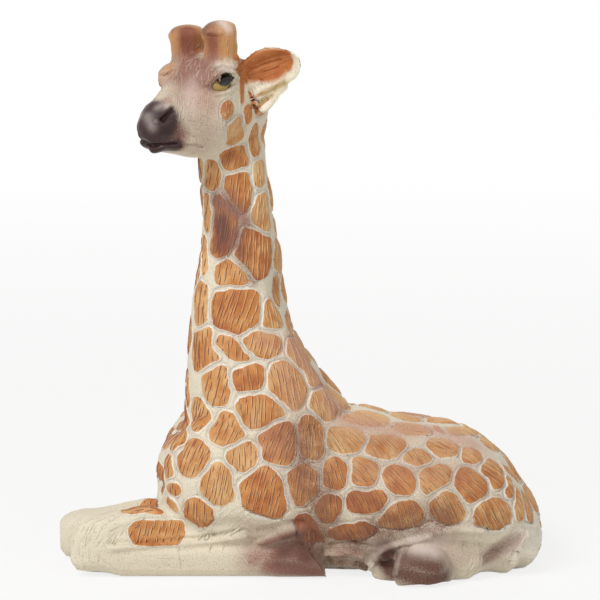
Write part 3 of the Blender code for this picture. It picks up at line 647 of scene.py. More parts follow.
def patch_seeds(skin, tree):
    """The middle line, half width, tone and hair direction of every patch."""
    seeds = []
    for number, (px, py, wide, tall, tone) in enumerate(PATCHES):
        reach, stretch = min(wide, tall), abs(wide - tall)
        shift = (stretch, 0) if wide > tall else (0, stretch)
        ends = np.array([touch(tree, px + sign * shift[0], py + sign * shift[1])[0] for sign in (-1, 1)])
        twin = "head" if number in HEAD_TWINS else "body" if number in FOREARM_TWINS else None
        for place, facing in with_twin(ends, touch(tree, px, py)[1], twin):
            seeds.append((*place, reach * PIXEL_SIZE, tone, facing))
    for x0, y0, x1, y1, reach, tone in LEANING_PATCHES:
        start, facing = touch(tree, x0, y0)
        seeds.append((start, touch(tree, x1, y1)[0], reach * PIXEL_SIZE, tone, facing))
    rng = np.random.default_rng(FILL_SEED)
    points, normals = skin.points, skin.normals()
    torso, neck, head = (skin.part_weight((name,)) > 0.9 for name in ("torso", "neck", "head"))
    body = torso & (points[:, 2] > FLAT_FOOT)
    nape = head & ((points - HEAD_MIDDLE) @ HEAD_AHEAD < NAPE_START)
    brisket_foot = (points[:, 0] < BRISKET[0]) & (points[:, 2] < BRISKET[1])
    unseen = normals @ np.array(camera_axes()[0]) < 0.25
    allowed = (neck | nape | body) & ~brisket_foot & unseen
    fresh = True
    for index in rng.permutation(np.flatnonzero(allowed))[:FILL_TRIES]:
        point = points[index]
        spacing = rng.uniform(*FILL_SPACING)
        if fresh:
            starts, ends, radii = (np.array([seed[k] for seed in seeds]) for k in range(3))
        along = ends - starts
        length = np.maximum((along * along).sum(axis=1), 1e-9)
        share = np.clip(((point - starts) * along).sum(axis=1) / length, 0, 1)
        gap = np.linalg.norm(point - starts - share[:, None] * along, axis=1) - radii
        fresh = gap.min() > spacing / 2
        if fresh:
            seeds.append((point, point, spacing / 2 - 0.3, rng.uniform(0.25, 0.5), normals[index]))
    return seeds


def lay_patches(skin, tree, seeds):
    """Gives each point its distance inside the nearest patch, that patch's tone and its hair."""
    rng = np.random.default_rng(FILL_SEED + 1)
    wobble = np.stack([
        sum(stray * lattice_noise(skin.points, length, seed + k) for stray, length, seed in EDGE_WOBBLE)
        for k in range(3)
    ], axis=1)
    points = skin.points + wobble
    count = len(points)
    first, second, third = (np.full(count, FAR_AWAY) for _ in range(3))
    owner = np.zeros(count, int)
    for index, (start, end, reach, _, _) in enumerate(seeds):
        distance = path_distance(points, np.array((start, end)), reach + PATCH_SIGHT) - reach
        nearer = distance < first
        third = np.minimum(third, np.maximum(second, distance))
        second = np.where(nearer, first, np.minimum(second, distance))
        first = np.where(nearer, distance, first)
        owner[nearer] = index
    starts, ends, reaches, tones, facing = (np.array([seed[k] for seed in seeds]) for k in range(5))
    # Corners where three patches meet are rounder low on the body than up the neck
    soft = 0.9 - 0.55 * ramp(skin.points[:, 2], 18.0, 40.0)
    inside = soft_least((second - first) / 2, (third - first) / 2, soft)
    room = reaches[owner] * 0.30 + 0.75 - first
    inside = soft_least(inside, room, 0.5)
    skin.values["net"] = ramp(room, 0.0, 0.45)
    coated = skin.part_weight(("neck", "torso", "left_foreleg", "right_foreleg", "head"))
    inside = inside - (1 - coated) * 4
    for pixels, reach in BARE:
        for line in traced(tree, pixels, "body"):
            inside = inside - 5 * fall(path_distance(skin.points, line, reach), reach)
    tones = tones + rng.uniform(-0.06, 0.06, len(seeds))
    skin.values["inside"] = np.clip(inside, -4, 6)
    skin.values["tone"] = tones[owner]
    # The hair hangs down, and leans back over the flank
    middles = (starts + ends) / 2
    lean = rng.uniform(-0.25, 0.25, len(seeds)) + 0.12
    slope = lean - ramp(middles[:, 0], *FLANK) * 0.62
    down = np.stack([-np.sin(slope), np.zeros(len(seeds)), -np.cos(slope)], axis=1)
    down = unit(down - facing * (down * facing).sum(axis=1)[:, None])
    side = np.cross(facing, down)
    away = skin.points - middles[owner]
    hair = np.stack([(away * side[owner]).sum(axis=1), (away * down[owner]).sum(axis=1)], axis=1)
    start = rng.uniform(0, 90, (len(seeds), 2))[owner]
    skin.values["hair"] = np.column_stack([hair + start, np.zeros(count)])
    near = ramp(inside, -0.9, -0.2)[:, None]
    level, still = -0.35 - 0.4 * ramp(points[:, 0], *FLANK), np.zeros(count)
    general = np.stack([level, still, still - 1], axis=1)
    skin.values["lie"] = unit(down[owner] * near + unit(general) * (1 - near))


# Sprayed colours by place, and with them painted highlights and painted shade: pixels of a line, its reach
# in millimetres and its strength

SPRAYS = {
    "plum": (
        ([(144, 112), (148, 126), (154, 136), (164, 132), (168, 122)], 3.0, 1.0, "head"),
        ([(152, 108), (160, 114), (168, 128)], 2.4, 1.0, "head"),
        ([(146, 142), (152, 149), (164, 149), (176, 147)], 1.9, 1.0, "head"),
        ([(140, 138), (150, 145), (172, 145)], 1.4, 1.0, "head"),
        ([(140, 130), (143, 140)], 2.2, 1.0, "head"), ([(163, 118), (172, 110)], 1.2, 1.0, "head"),
        ([(204, 29), (208, 24), (214, 22)], 2.2, 0.48, "head"),
    ),
    "mauve": (
        ([(206, 26), (214, 25)], 2.0, 1.0, "head"),
        ([(216, 200), (228, 205), (244, 220)], 1.6, 0.75, None),
        ([(236, 232), (232, 244)], 1.0, 0.6, None), ([(180, 60), (190, 62), (206, 62)], 2.6, 1.0, "head"),
        ([(182, 68), (190, 70), (204, 70)], 3.2, 1.0, "head"),
        ([(182, 74), (190, 80), (204, 76)], 4.0, 1.0, "head"),
        ([(186, 100), (194, 96)], 4.0, 0.55, "head"), ([(178, 92), (196, 98)], 3.6, 0.45, "head"),
        ([(150, 108), (166, 102)], 2.4, 0.7, "head"),
        ([(172, 124), (180, 136), (178, 146)], 2.6, 0.8, "head"),
        ([(190, 112), (206, 126), (200, 140)], 4.0, 0.35, "head"),
        ([(256, 558), (268, 552)], 3.6, 0.75, "body"),
        ([(262, 545), (282, 538), (300, 533)], 1.4, 0.9, "body"),
        ([(440, 552), (470, 558), (500, 552)], 3.0, 0.35, "body"),
        ([(488, 558), (508, 542)], 2.2, 0.6, "body"), ([(504, 552), (520, 538)], 1.8, 0.5, "body"),
        ([(340, 552), (360, 556)], 2.2, 0.3, "body"),
        ([(276, 554), (296, 552), (310, 562)], 3.2, 0.95, "body"),
        ([(270, 566), (300, 570), (320, 574)], 3.2, 0.95, "body"),
        ([(304, 548), (318, 566)], 2.2, 0.9, "body"), ([(186, 96), (200, 104)], 4.5, 0.35, "head"),
    ),
    "blush": (
        ([(296, 345), (322, 384), (338, 410)], 3.4, 0.95, "body"),
        ([(286, 372), (298, 402)], 2.6, 0.5, None),
        ([(345, 420), (390, 430), (430, 428), (470, 442)], 4.5, 0.75, "body"),
        ([(372, 470), (460, 470)], 4.0, 0.3, "body"), ([(268, 440), (300, 436)], 3.0, 0.40, None),
        ([(262, 340), (282, 346)], 2.0, 0.5, None), ([(166, 432), (168, 444)], 2.0, 0.4, None),
        ([(190, 84), (206, 100)], 3.0, 0.5, "head"),
    ),
    "rust": (
        ([(244, 64), (256, 74), (272, 72), (286, 62)], 2.5, 1.0, "head"),
        ([(250, 58), (268, 53), (286, 53)], 1.5, 0.9, "head"),
        ([(254, 66), (268, 61), (280, 58)], 1.8, 1.0, "head"), ([(241, 64), (244, 78)], 1.6, 0.9, "head"),
        ([(242, 78), (242, 100)], 0.9, 0.9, "head"), ([(236, 57), (245, 62)], 0.9, 0.9, "head"),
        ([(250, 93), (254, 104), (257, 112)], 0.6, 0.85, "head"),
        ([(252, 100), (262, 93)], 0.45, 0.7, "head"), ([(256, 109), (268, 99)], 0.45, 0.7, "head"),
    ),
    "brown": (
        ([(212, 36), (213, 56)], 1.9, 1.05, None), ([(187, 32), (189, 52)], 2.2, 1.3, None),
        ([(222, 224), (223, 246)], 2.2, 1.4, None), ([(238, 246), (242, 252)], 1.4, 0.7, None),
    ),
    "umber": (
        ([(284, 550), (298, 542), (306, 556)], 2.5, 0.90, "body"),
        ([(280, 564), (300, 566), (314, 570)], 2.2, 0.60, "body"),
        ([(284, 539), (300, 534)], 1.1, 0.8, "body"),
        ([(402, 558), (420, 563), (436, 568)], 3.2, 1.0, "body"),
        ([(400, 572), (420, 580), (442, 578)], 3.4, 1.0, "body"),
        # painted shade in the hollow beside the big toe
        ([(388, 550), (386, 562), (392, 572)], 2.2, 1.2, "body"),
        ([(172, 126), (176, 140)], 1.8, 0.8, "head"), ([(486, 560), (496, 552)], 1.4, 0.4, "body"),
        ([(222, 220), (223, 238)], 1.1, 0.75, None),
    ),
    "horn": (
        ([(170, 66), (163, 74), (161, 82)], 1.7, 0.9, None),
    ),
    "ochre": (
        ([(262, 94), (284, 83)], 0.8, 0.9, "head"), ([(258, 104), (272, 95)], 0.5, 0.9, "head"),
    ),
    # painted highlights on the near horn's top, the muzzle, the upper lids and the hind toe, and a paler
    # strip down the forehead
    "pale": (
        ([(222, 22), (228, 28)], 1.1, 0.85, "head"), ([(147, 116), (152, 127)], 1.1, 0.30, "head"),
        ([(158, 107), (166, 105)], 1.0, 0.35, "head"), ([(192, 84), (188, 104)], 2.2, 0.35, "head"),
        ([(218, 65), (230, 67)], 1.0, 0.7, "head"),
        ([(374, 567), (376, 556), (385, 547), (404, 542)], 0.6, 0.35, "body"),
        ([(404, 545), (399, 560), (396, 574)], 0.35, 0.35, "body"),
        ([(414, 547), (436, 550)], 1.8, 0.65, "body"),
    ),
    # brown spray over the low shoulder, flank, neck and cheek, and in two lines painted shade
    "spray_and_shade": (
        ([(306, 440), (310, 480), (326, 540)], 5.5, 1.2, "body"),
        ([(340, 560), (380, 530), (440, 520)], 5.5, 1.15, "body"),
        # painted shade under the belly roll, then spray over a flank patch
        ([(328, 558), (368, 566)], 2.6, 1.1, "body"), ([(360, 500), (380, 504)], 3.0, 0.6, "body"),
        ([(440, 516), (500, 520)], 3.6, 0.45, "body"),
        ([(360, 450), (420, 460), (480, 480)], 8.0, 0.30, "body"),
        ([(250, 530), (300, 520)], 3.0, 0.6, "body"), ([(318, 548), (324, 562)], 2.0, 1.0, "body"),
        ([(216, 200), (236, 208), (246, 222), (236, 240)], 1.9, 1.0, None),
        ([(224, 196), (222, 214)], 2.6, 0.8, None), ([(240, 258), (254, 282)], 1.2, 0.8, None),
        # painted shade that dims the cannon of the folded foreleg
        ([(120, 560), (240, 562)], 2.6, 0.16, "body"),
        ([(190, 90), (205, 110), (200, 130)], 6.0, 0.35, "head"),
    ),
}


def spray(skin, tree):
    """Gives each point the strength of each sprayed colour, painted highlight and painted shade."""
    for name, lines in SPRAYS.items():
        amount = np.zeros(len(skin.points))
        for pixels, reach, strength, twin in lines:
            for line in traced(tree, pixels, twin):
                distance = path_distance(skin.points, line, reach * 3)
                amount = np.maximum(amount, strength * np.exp(-(distance / reach) ** 2 * 1.4))
        skin.values[name] = amount


def comb(skin, tree):
    """How densely strokes are carved at each point, and which way they lie."""
    carved = ramp(skin.values["inside"], 0.45, 0.75)
    span = np.clip(skin.values["inside"] / 2.0, 0.3, 1.0)
    lie = skin.values["lie"]
    for pixels, reach, density, twin in COMBS:
        for line in traced(tree, pixels, twin):
            distance, way = path_lie(skin.points, line, reach)
            amount = fall(distance, reach)
            lie = lie * (1 - amount[:, None]) + way * amount[:, None]
            dense = density * np.sqrt(amount)
            span = np.where(dense > carved, 1.0, span)
            carved = np.maximum(carved, dense)
    skin.values.update(lie=unit(lie), carved=carved, span=span)


def part_tints(skin):
    """How far each point is horn, softened where the horn grows out of the skull."""
    values = skin.values
    horn = skin.part_weight(("left_ossicone", "right_ossicone")) * ramp(skin.points[:, 2], *HORN_ROOT)
    values["mauve"] = values["mauve"] * (1 - values["horn"]) * (1 - 0.6 * horn)
    values["horn"] = np.maximum(values["horn"], horn)


def fall(distance, reach):
    """1 at a line or place, falling smoothly to 0 at its reach."""
    share = np.clip(1 - (distance / reach) ** 2, 0, 1)
    return share * share


def pull(skin, tree, px, py, reach, shift, twin):
    """Moves the skin near a pixel by some pixels of the photograph."""
    _, right, up = camera_axes()
    move = (np.array(right) * shift[0] - np.array(up) * shift[1]) * PIXEL_SIZE
    for place, way in with_twin(touch(tree, px, py)[0], move, twin):
        amount = fall(np.linalg.norm(skin.points - place, axis=1), reach)
        skin.points = skin.points + amount[:, None] * way


def model(skin, tree, pixels, reach, height, twin):
    """Raises or cuts the skin along a line of pixels, on the side that faces the line."""
    _, facing = touch(tree, *pixels[len(pixels) // 2])
    normals = skin.normals()
    for line, way in with_twin(trace(tree, pixels), facing, twin):
        amount = fall(path_distance(skin.points, line, reach), reach)
        amount *= np.clip(normals @ way * 2 + 0.3, 0, 1)
        skin.points = skin.points + normals * (amount * height)[:, None]


def carve_net(skin, relief):
    """Cuts the channels between the patches, and rounds the patches up from them."""
    half = relief.net_width / 2
    inside = skin.values["inside"]
    depth = (1 - ramp(np.abs(inside), half * 0.5, half * 1.4)) * skin.values["net"]
    rounded = 0.35 * ramp(inside, half * 1.6, half * 5.0)
    skin.points = skin.points - skin.normals() * (relief.net_depth * (depth - rounded))[:, None]


def keep_in_box(skin):
    """Keeps the skin inside the castings' box, with room for the raised strokes."""
    low, high = (np.array(corner) / MM for corner in CAD_BOX)
    skin.points = np.clip(skin.points, low + STROKE_ROOM, high - STROKE_ROOM)


MADE = {}


def casting():
    """The finished skin, made once."""
    if "skin" in MADE:
        return MADE["skin"]
    relief = bpy.context.scene.giraffe_relief
    skin = fused_skin(relief)
    # Head parts and legs keep more of their shape
    calm = 1 - 0.45 * skin.part_weight(HEAD_PARTS) - 0.4 * skin.part_weight(LEGS)
    skin.smooth(relief.smoothing, calm)
    tree = skin.tree()
    for work in PULLS:
        pull(skin, tree, *work)
    tree = skin.tree()
    for work in FORMS:
        model(skin, tree, *work)
    skin.refine(HEAD_PARTS)
    skin.smooth(3)
    tree = skin.tree()
    lay_patches(skin, tree, patch_seeds(skin, tree))
    spray(skin, tree)
    comb(skin, tree)
    part_tints(skin)
    for work in CUTS:
        model(skin, tree, *work)
    carve_net(skin, relief)
    keep_in_box(skin)
    MADE.update(skin=skin, tree=tree, normals=skin.normals())
    return skin


def add(tree, kind, settings=None, inputs=None):
    """Adds a node, sets its properties, and gives its inputs their values or links."""
    node = tree.nodes.new(kind)
    for name, value in (settings or {}).items():
        setattr(node, name, value)
    for name, value in (inputs or {}).items():
        if isinstance(value, bpy.types.NodeSocket):
            tree.links.new(value, node.inputs[name])
        else:
            node.inputs[name].default_value = value
    return node


def new_material(name):
    made = bpy.data.materials.new(name)
    made.use_nodes = True
    made.node_tree.nodes.clear()
    return made, made.node_tree


# The skin's numbers that the paint reads
PAINT_VALUES = (
    "inside", "tone", "net", "ridge", "flank", "horn", "brown", "rust", "ochre", "blush", "spray_and_shade", "mauve",
    "umber", "plum", "pale",
)
# How the paint's amounts follow from them: result, operation and its inputs, words being earlier results
PAINT_STEPS = (
    # hair strokes in the paint: their cuts and crests, but not where a stroke stands up as a ridge
    ("off_ridge", "SUBTRACT", 1.0, "ridge"), ("cut", "SMOOTHSTEP", "hairs", 0.62, 0.68),
    ("cut", "MULTIPLY", "cut", "off_ridge"), ("crest", "SMOOTHSTEP", "hairs", 0.46, 0.36),
    ("cut_paint", "MULTIPLY", "cut", 0.18),
    # painted shade: the flank of each ridge that faces away from the light gets the settled paint's colour
    ("flank", "SMOOTHSTEP", "flank", 0.20, -0.25), ("flank", "MULTIPLY", "flank", "ridge"),
    ("flank_shade", "MULTIPLY", "flank", 0.95),
    # patches with ragged edges and drifting tones, and a painted highlight that lightens the tone on raised
    # ridges
    ("ragged", "MULTIPLY_ADD", "fine", 0.16, "inside"), ("patch", "SMOOTHSTEP", "ragged", 0.44, 0.56),
    ("drift", "SUBTRACT", "broad", 0.5), ("tone", "MULTIPLY_ADD", "ridge", -0.22, "tone"),
    ("tone", "MULTIPLY_ADD", "drift", 1.1, "tone"),
    # the channel between patches: a paler net, a painted highlight on the lips and painted shade on the
    # floor
    ("lip", "SMOOTHSTEP", "ragged", 0.24, 0.34), ("off_patch", "SUBTRACT", 1.0, "patch"),
    ("lip", "MULTIPLY", "lip", "off_patch"), ("lip", "MULTIPLY", "lip", "net"),
    ("half_net", "MULTIPLY", "net", 0.5), ("pale_net_and_lip_highlight", "MULTIPLY_ADD", "lip", 0.4, "half_net"),
    ("apart", "ABSOLUTE", "inside"), ("floor", "SMOOTHSTEP", "apart", 0.36, 0.02),
    ("floor", "MULTIPLY", "floor", "net"), ("thin", "MULTIPLY_ADD", "broad", 0.6, -0.08),
    ("floor_shade", "MULTIPLY", "floor", "thin"),
    # thin sprays: each is a cloud of dots 0.15 to 0.2 mm across that leaves some coat bare
    ("cloud", "MULTIPLY_ADD", "fine", 0.9, 0.55), ("brown", "MULTIPLY", "brown", "cloud"),
    ("cloud", "MULTIPLY_ADD", "broad", 0.8, 0.65), ("rust", "MULTIPLY", "rust", "cloud"),
    ("rust", "SMOOTHSTEP", "rust", 0.25, 0.75), ("cloud", "MULTIPLY_ADD", "fine", 0.9, 0.5),
    ("blush", "MULTIPLY", "blush", "cloud"), ("blush", "MINIMUM", "blush", 1.0),
    # blush is kept off the ridges' painted shade
    ("off_flank", "MULTIPLY_ADD", "flank", -0.7, 1.0), ("blush", "MULTIPLY", "blush", "off_flank"),
    ("dots", "MULTIPLY_ADD", "fine", 1.2, -0.35), ("cloud", "MULTIPLY_ADD", "broad", 0.8, "dots"),
    ("spray_and_shade", "MULTIPLY", "spray_and_shade", "cloud"), ("cloud", "MULTIPLY_ADD", "fine", 1.1, 0.55),
    ("mauve", "MULTIPLY", "mauve", "cloud"), ("mauve", "MINIMUM", "mauve", 1.0),
    ("half_ridge", "MULTIPLY_ADD", "ridge", -0.5, 1.0), ("mauve", "MULTIPLY", "mauve", "half_ridge"),
    ("cloud", "MULTIPLY_ADD", "fine", 0.9, 0.6), ("umber", "MULTIPLY", "umber", "cloud"),
    ("plum", "MULTIPLY_ADD", "fine", 0.5, "plum"), ("plum", "SMOOTHSTEP", "plum", 0.42, 0.98),
    ("cloud", "MULTIPLY_ADD", "fine", 1.2, 0.3), ("pale", "MULTIPLY", "pale", "cloud"),
    ("speckle", "SMOOTHSTEP", "fine", 0.60, 0.70), ("speckle", "MULTIPLY", "speckle", 0.42),
    # painted highlight: raised ridges are blended a little towards cream
    ("ridge_highlight", "MULTIPLY", "ridge", 0.08),
    # relief too fine for the mesh, and the plum's sheen
    ("height", "MULTIPLY", "cut", -0.4), ("height", "MULTIPLY_ADD", "crest", 0.18, "height"),
    ("height", "MULTIPLY", "height", "patch"), ("height", "MULTIPLY_ADD", "fine", 0.16, "height"),
    ("height", "MULTIPLY_ADD", "floor", -0.5, "height"), ("height", "MULTIPLY_ADD", "lip", 0.12, "height"),
    ("roughness", "MULTIPLY_ADD", "plum", -0.19, 0.52),
)
# Coats of paint in order: result, amount, what lies below and what goes on
COATS = (
    # the settled paint in the cuts, then painted shade on the ridges' flanks
    ("patch", "cut_paint", "patch", "settled_paint_and_shade"), ("patch", "flank_shade", "patch", "settled_paint_and_shade"),
    # paler net with a painted highlight on the channels' lips, the patches, then painted shade in the
    # channels' floors
    ("skin", "pale_net_and_lip_highlight", "cream", "light"), ("skin", "patch", "skin", "patch"),
    ("skin", "floor_shade", "skin", "spray_and_shade"), ("skin", "horn", "skin", "horn"),
    ("skin", "brown", "skin", "brown"), ("bowl", "broad", "ginger", "rust"),
    ("skin", "rust", "skin", "bowl"), ("skin", "ochre", "skin", "ochre"),
    # pink blush, then the brown spray with its painted shade
    ("skin", "blush", "skin", "blush"), ("skin", "spray_and_shade", "skin", "spray_and_shade"),
    ("skin", "mauve", "skin", "mauve"), ("skin", "umber", "skin", "umber"),
    ("skin", "plum", "skin", "plum"), ("skin", "pale", "skin", "pale"),
    # spatter dots, then the painted highlight on raised ridges
    ("skin", "speckle", "skin", "umber"), ("skin", "ridge_highlight", "skin", "cream"),
)


def painted_resin():
    """Hand-painted cast resin.

    Matt brushed patches with ragged edges, sprayed mauve and plum over them and fine spatter on
    all of it give the eye the soft, slightly dusty look of acrylic paint on a casting.
    """
    found = bpy.data.materials.get("hand_painted_resin")
    if found:
        return found
    paint = bpy.context.scene.giraffe_paint
    made, tree = new_material("hand_painted_resin")
    place = add(tree, "ShaderNodeTexCoord").outputs["Object"]
    have = {
        name: add(tree, "ShaderNodeAttribute", {"attribute_name": name}).outputs["Fac"]
        for name in PAINT_VALUES
    }
    # Hair strokes about 0.25 mm wide and 2 mm long, spatter of 0.19 mm dots and drifts of 2.4 mm
    hair = add(tree, "ShaderNodeAttribute", {"attribute_name": "hair"}).outputs["Vector"]
    drawn = add(tree, "ShaderNodeVectorMath", {"operation": "MULTIPLY"}, {0: hair, 1: (3.0, 0.13, 1.0)})
    for name, where, scale, detail in (
        ("hairs", drawn.outputs[0], 1.0, 1.0), ("fine", place, 5200.0, 1.0), ("broad", place, 420.0, 3.0),
    ):
        have[name] = add(tree, "ShaderNodeTexNoise", {}, {
            "Vector": where, "Scale": scale, "Detail": detail,
        }).outputs["Fac"]
    for name, operation, *inputs in PAINT_STEPS:
        smooth = operation == "SMOOTHSTEP"
        kind = "ShaderNodeMapRange" if smooth else "ShaderNodeMath"
        setting = "interpolation_type" if smooth else "operation"
        sockets = {socket: have.get(item, item) for socket, item in enumerate(inputs)}
        have[name] = add(tree, kind, {setting: operation}, sockets).outputs[0]
    tones = add(tree, "ShaderNodeValToRGB", {}, {"Fac": have["tone"]})
    hues = {name: (*getattr(paint, name), 1.0) for name in GIRAFFE_PG_paint.__annotations__}
    stops = tones.color_ramp.elements
    stops.new(0.5)
    for stop, (position, name) in zip(stops, ((0.12, "tan"), (0.5, "ginger"), (0.88, "rust"))):
        stop.position, stop.color = position, hues[name]
    hues["patch"] = tones.outputs["Color"]
    for name, amount, below, above in COATS:
        hues[name] = add(tree, "ShaderNodeMix", {"data_type": "RGBA"}, {
            0: have[amount], 6: hues[below], 7: hues[above],
        }).outputs[2]
    bump = add(tree, "ShaderNodeBump", {}, {"Strength": 1.0, "Distance": 0.0003, "Height": have["height"]})
    surface = add(tree, "ShaderNodeBsdfPrincipled", {}, {
        "IOR": 1.38, "Base Color": hues["skin"], "Roughness": have["roughness"], "Normal": bump.outputs[0],
    })
    add(tree, "ShaderNodeOutputMaterial", {}, {"Surface": surface.outputs[0]})
    return made


def lay_values(mesh, sources):
    """Writes the skin's numbers to a mesh whose points stand for the given ones."""
    for label, values in casting().values.items():
        kind = "FLOAT_VECTOR" if values.ndim == 2 else "FLOAT"
        layer = mesh.attributes.new(label, kind, "POINT")
        layer.data.foreach_set("vector" if values.ndim == 2 else "value", values[sources].ravel())


def cut_piece(name):
    """The part of the skin that stands for a casting, closed with hidden caps."""
    skin = casting()
    used, local = np.unique(skin.faces[skin.parts == PARTS.index(name)], return_inverse=True)
    local = local.reshape(-1, 4)
    points = skin.points[used]
    ends = sides(local).reshape(-1, 2)
    ordered = np.sort(ends, axis=1)
    keys = ordered[:, 0] * len(points) + ordered[:, 1]
    _, where, counts = np.unique(keys, return_inverse=True, return_counts=True)
    rim = ends[counts[where] == 1]
    group = joined_groups(len(points), rim)
    names, index = np.unique(group[rim[:, 0]], return_inverse=True)
    rings, where = np.unique(rim, return_inverse=True)
    where = where.reshape(-1, 2)
    sunk = points[rings] - MADE["normals"][used[rings]] * CAP_DEPTH
    centres = np.stack([sunk[np.unique(where[index == k])].mean(axis=0) for k in range(len(names))])
    first = len(points)
    walls = np.stack([rim[:, 1], rim[:, 0], first + where[:, 0], first + where[:, 1]], axis=1)
    caps = np.stack([first + where[:, 1], first + where[:, 0], first + len(rings) + index], axis=1)
    mesh = bpy.data.meshes.new(name)
    mesh.from_pydata(
        (np.concatenate([points, sunk, centres]) * MM).tolist(), [],
        local.tolist() + walls.tolist() + caps.tolist(),
    )
    mesh.shade_smooth()
    firsts = [rim[index == k][0, 0] for k in range(len(names))]
    middles = np.concatenate([used, used[rings], used[firsts]])
    lay_values(mesh, middles)
    mesh.normals_split_custom_set_from_vertices(MADE["normals"][middles].tolist())
    return placed(f"{name}_skin", mesh)


def dress(slot, *names):
    """Puts the painted skin of each named casting in the scene."""
    for name in names:
        piece = cut_piece(name)
        piece.data.materials.append(painted_resin())
        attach(piece, "root")
        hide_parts(name)
    return {"FINISHED"}


class GIRAFFE_OT_torso(bpy.types.Operator):
    """Body with its patches and carved net"""
    bl_idname = "giraffe.torso"
    bl_label = "Body"

    def execute(self, context):
        return dress("spotted_coat", "torso")


class GIRAFFE_OT_neck(bpy.types.Operator):
    """Neck with its patches and carved net"""
    bl_idname = "giraffe.neck"
    bl_label = "Neck"

    def execute(self, context):
        return dress("spotted_coat", "neck")


class GIRAFFE_OT_head(bpy.types.Operator):
    """Head with its lids, nostrils and mouth"""
    bl_idname = "giraffe.head"
    bl_label = "Head"

    def execute(self, context):
        return dress("cream_coat", "head")


class GIRAFFE_OT_ears(bpy.types.Operator):
    """Both ears"""
    bl_idname = "giraffe.ears"
    bl_label = "Ears"

    def execute(self, context):
        return dress("spotted_coat", "left_ear", "right_ear")


class GIRAFFE_OT_ossicones(bpy.types.Operator):
    """Both ossicones, the knobbed horns"""
    bl_idname = "giraffe.ossicones"
    bl_label = "Ossicones"

    def execute(self, context):
        return dress("horn_brown", "left_ossicone", "right_ossicone")


class GIRAFFE_OT_legs(bpy.types.Operator):
    """The four folded legs"""
    bl_idname = "giraffe.legs"
    bl_label = "Legs"

    def execute(self, context):
        return dress("cream_coat", *LEGS)


class GIRAFFE_OT_tail(bpy.types.Operator):
    """Tail laid down the right haunch"""
    bl_idname = "giraffe.tail"
    bl_label = "Tail"

    def execute(self, context):
        return dress("spotted_coat", "tail")


STROKE_INPUTS = (
    ("Spacing", "NodeSocketFloat", 0.0011), ("Density", "NodeSocketFloat", 3.0e6),
    ("Half length", "NodeSocketFloat", 0.0020), ("Half width", "NodeSocketFloat", 0.00018),
    ("Height", "NodeSocketFloat", 0.00012), ("Seed", "NodeSocketInt", 5),
)
# The head's strokes are shorter and closer
HEAD_STROKES = {"Spacing": 0.0007, "Half length": 0.0009, "Half width": 0.0001, "Height": 0.00011}


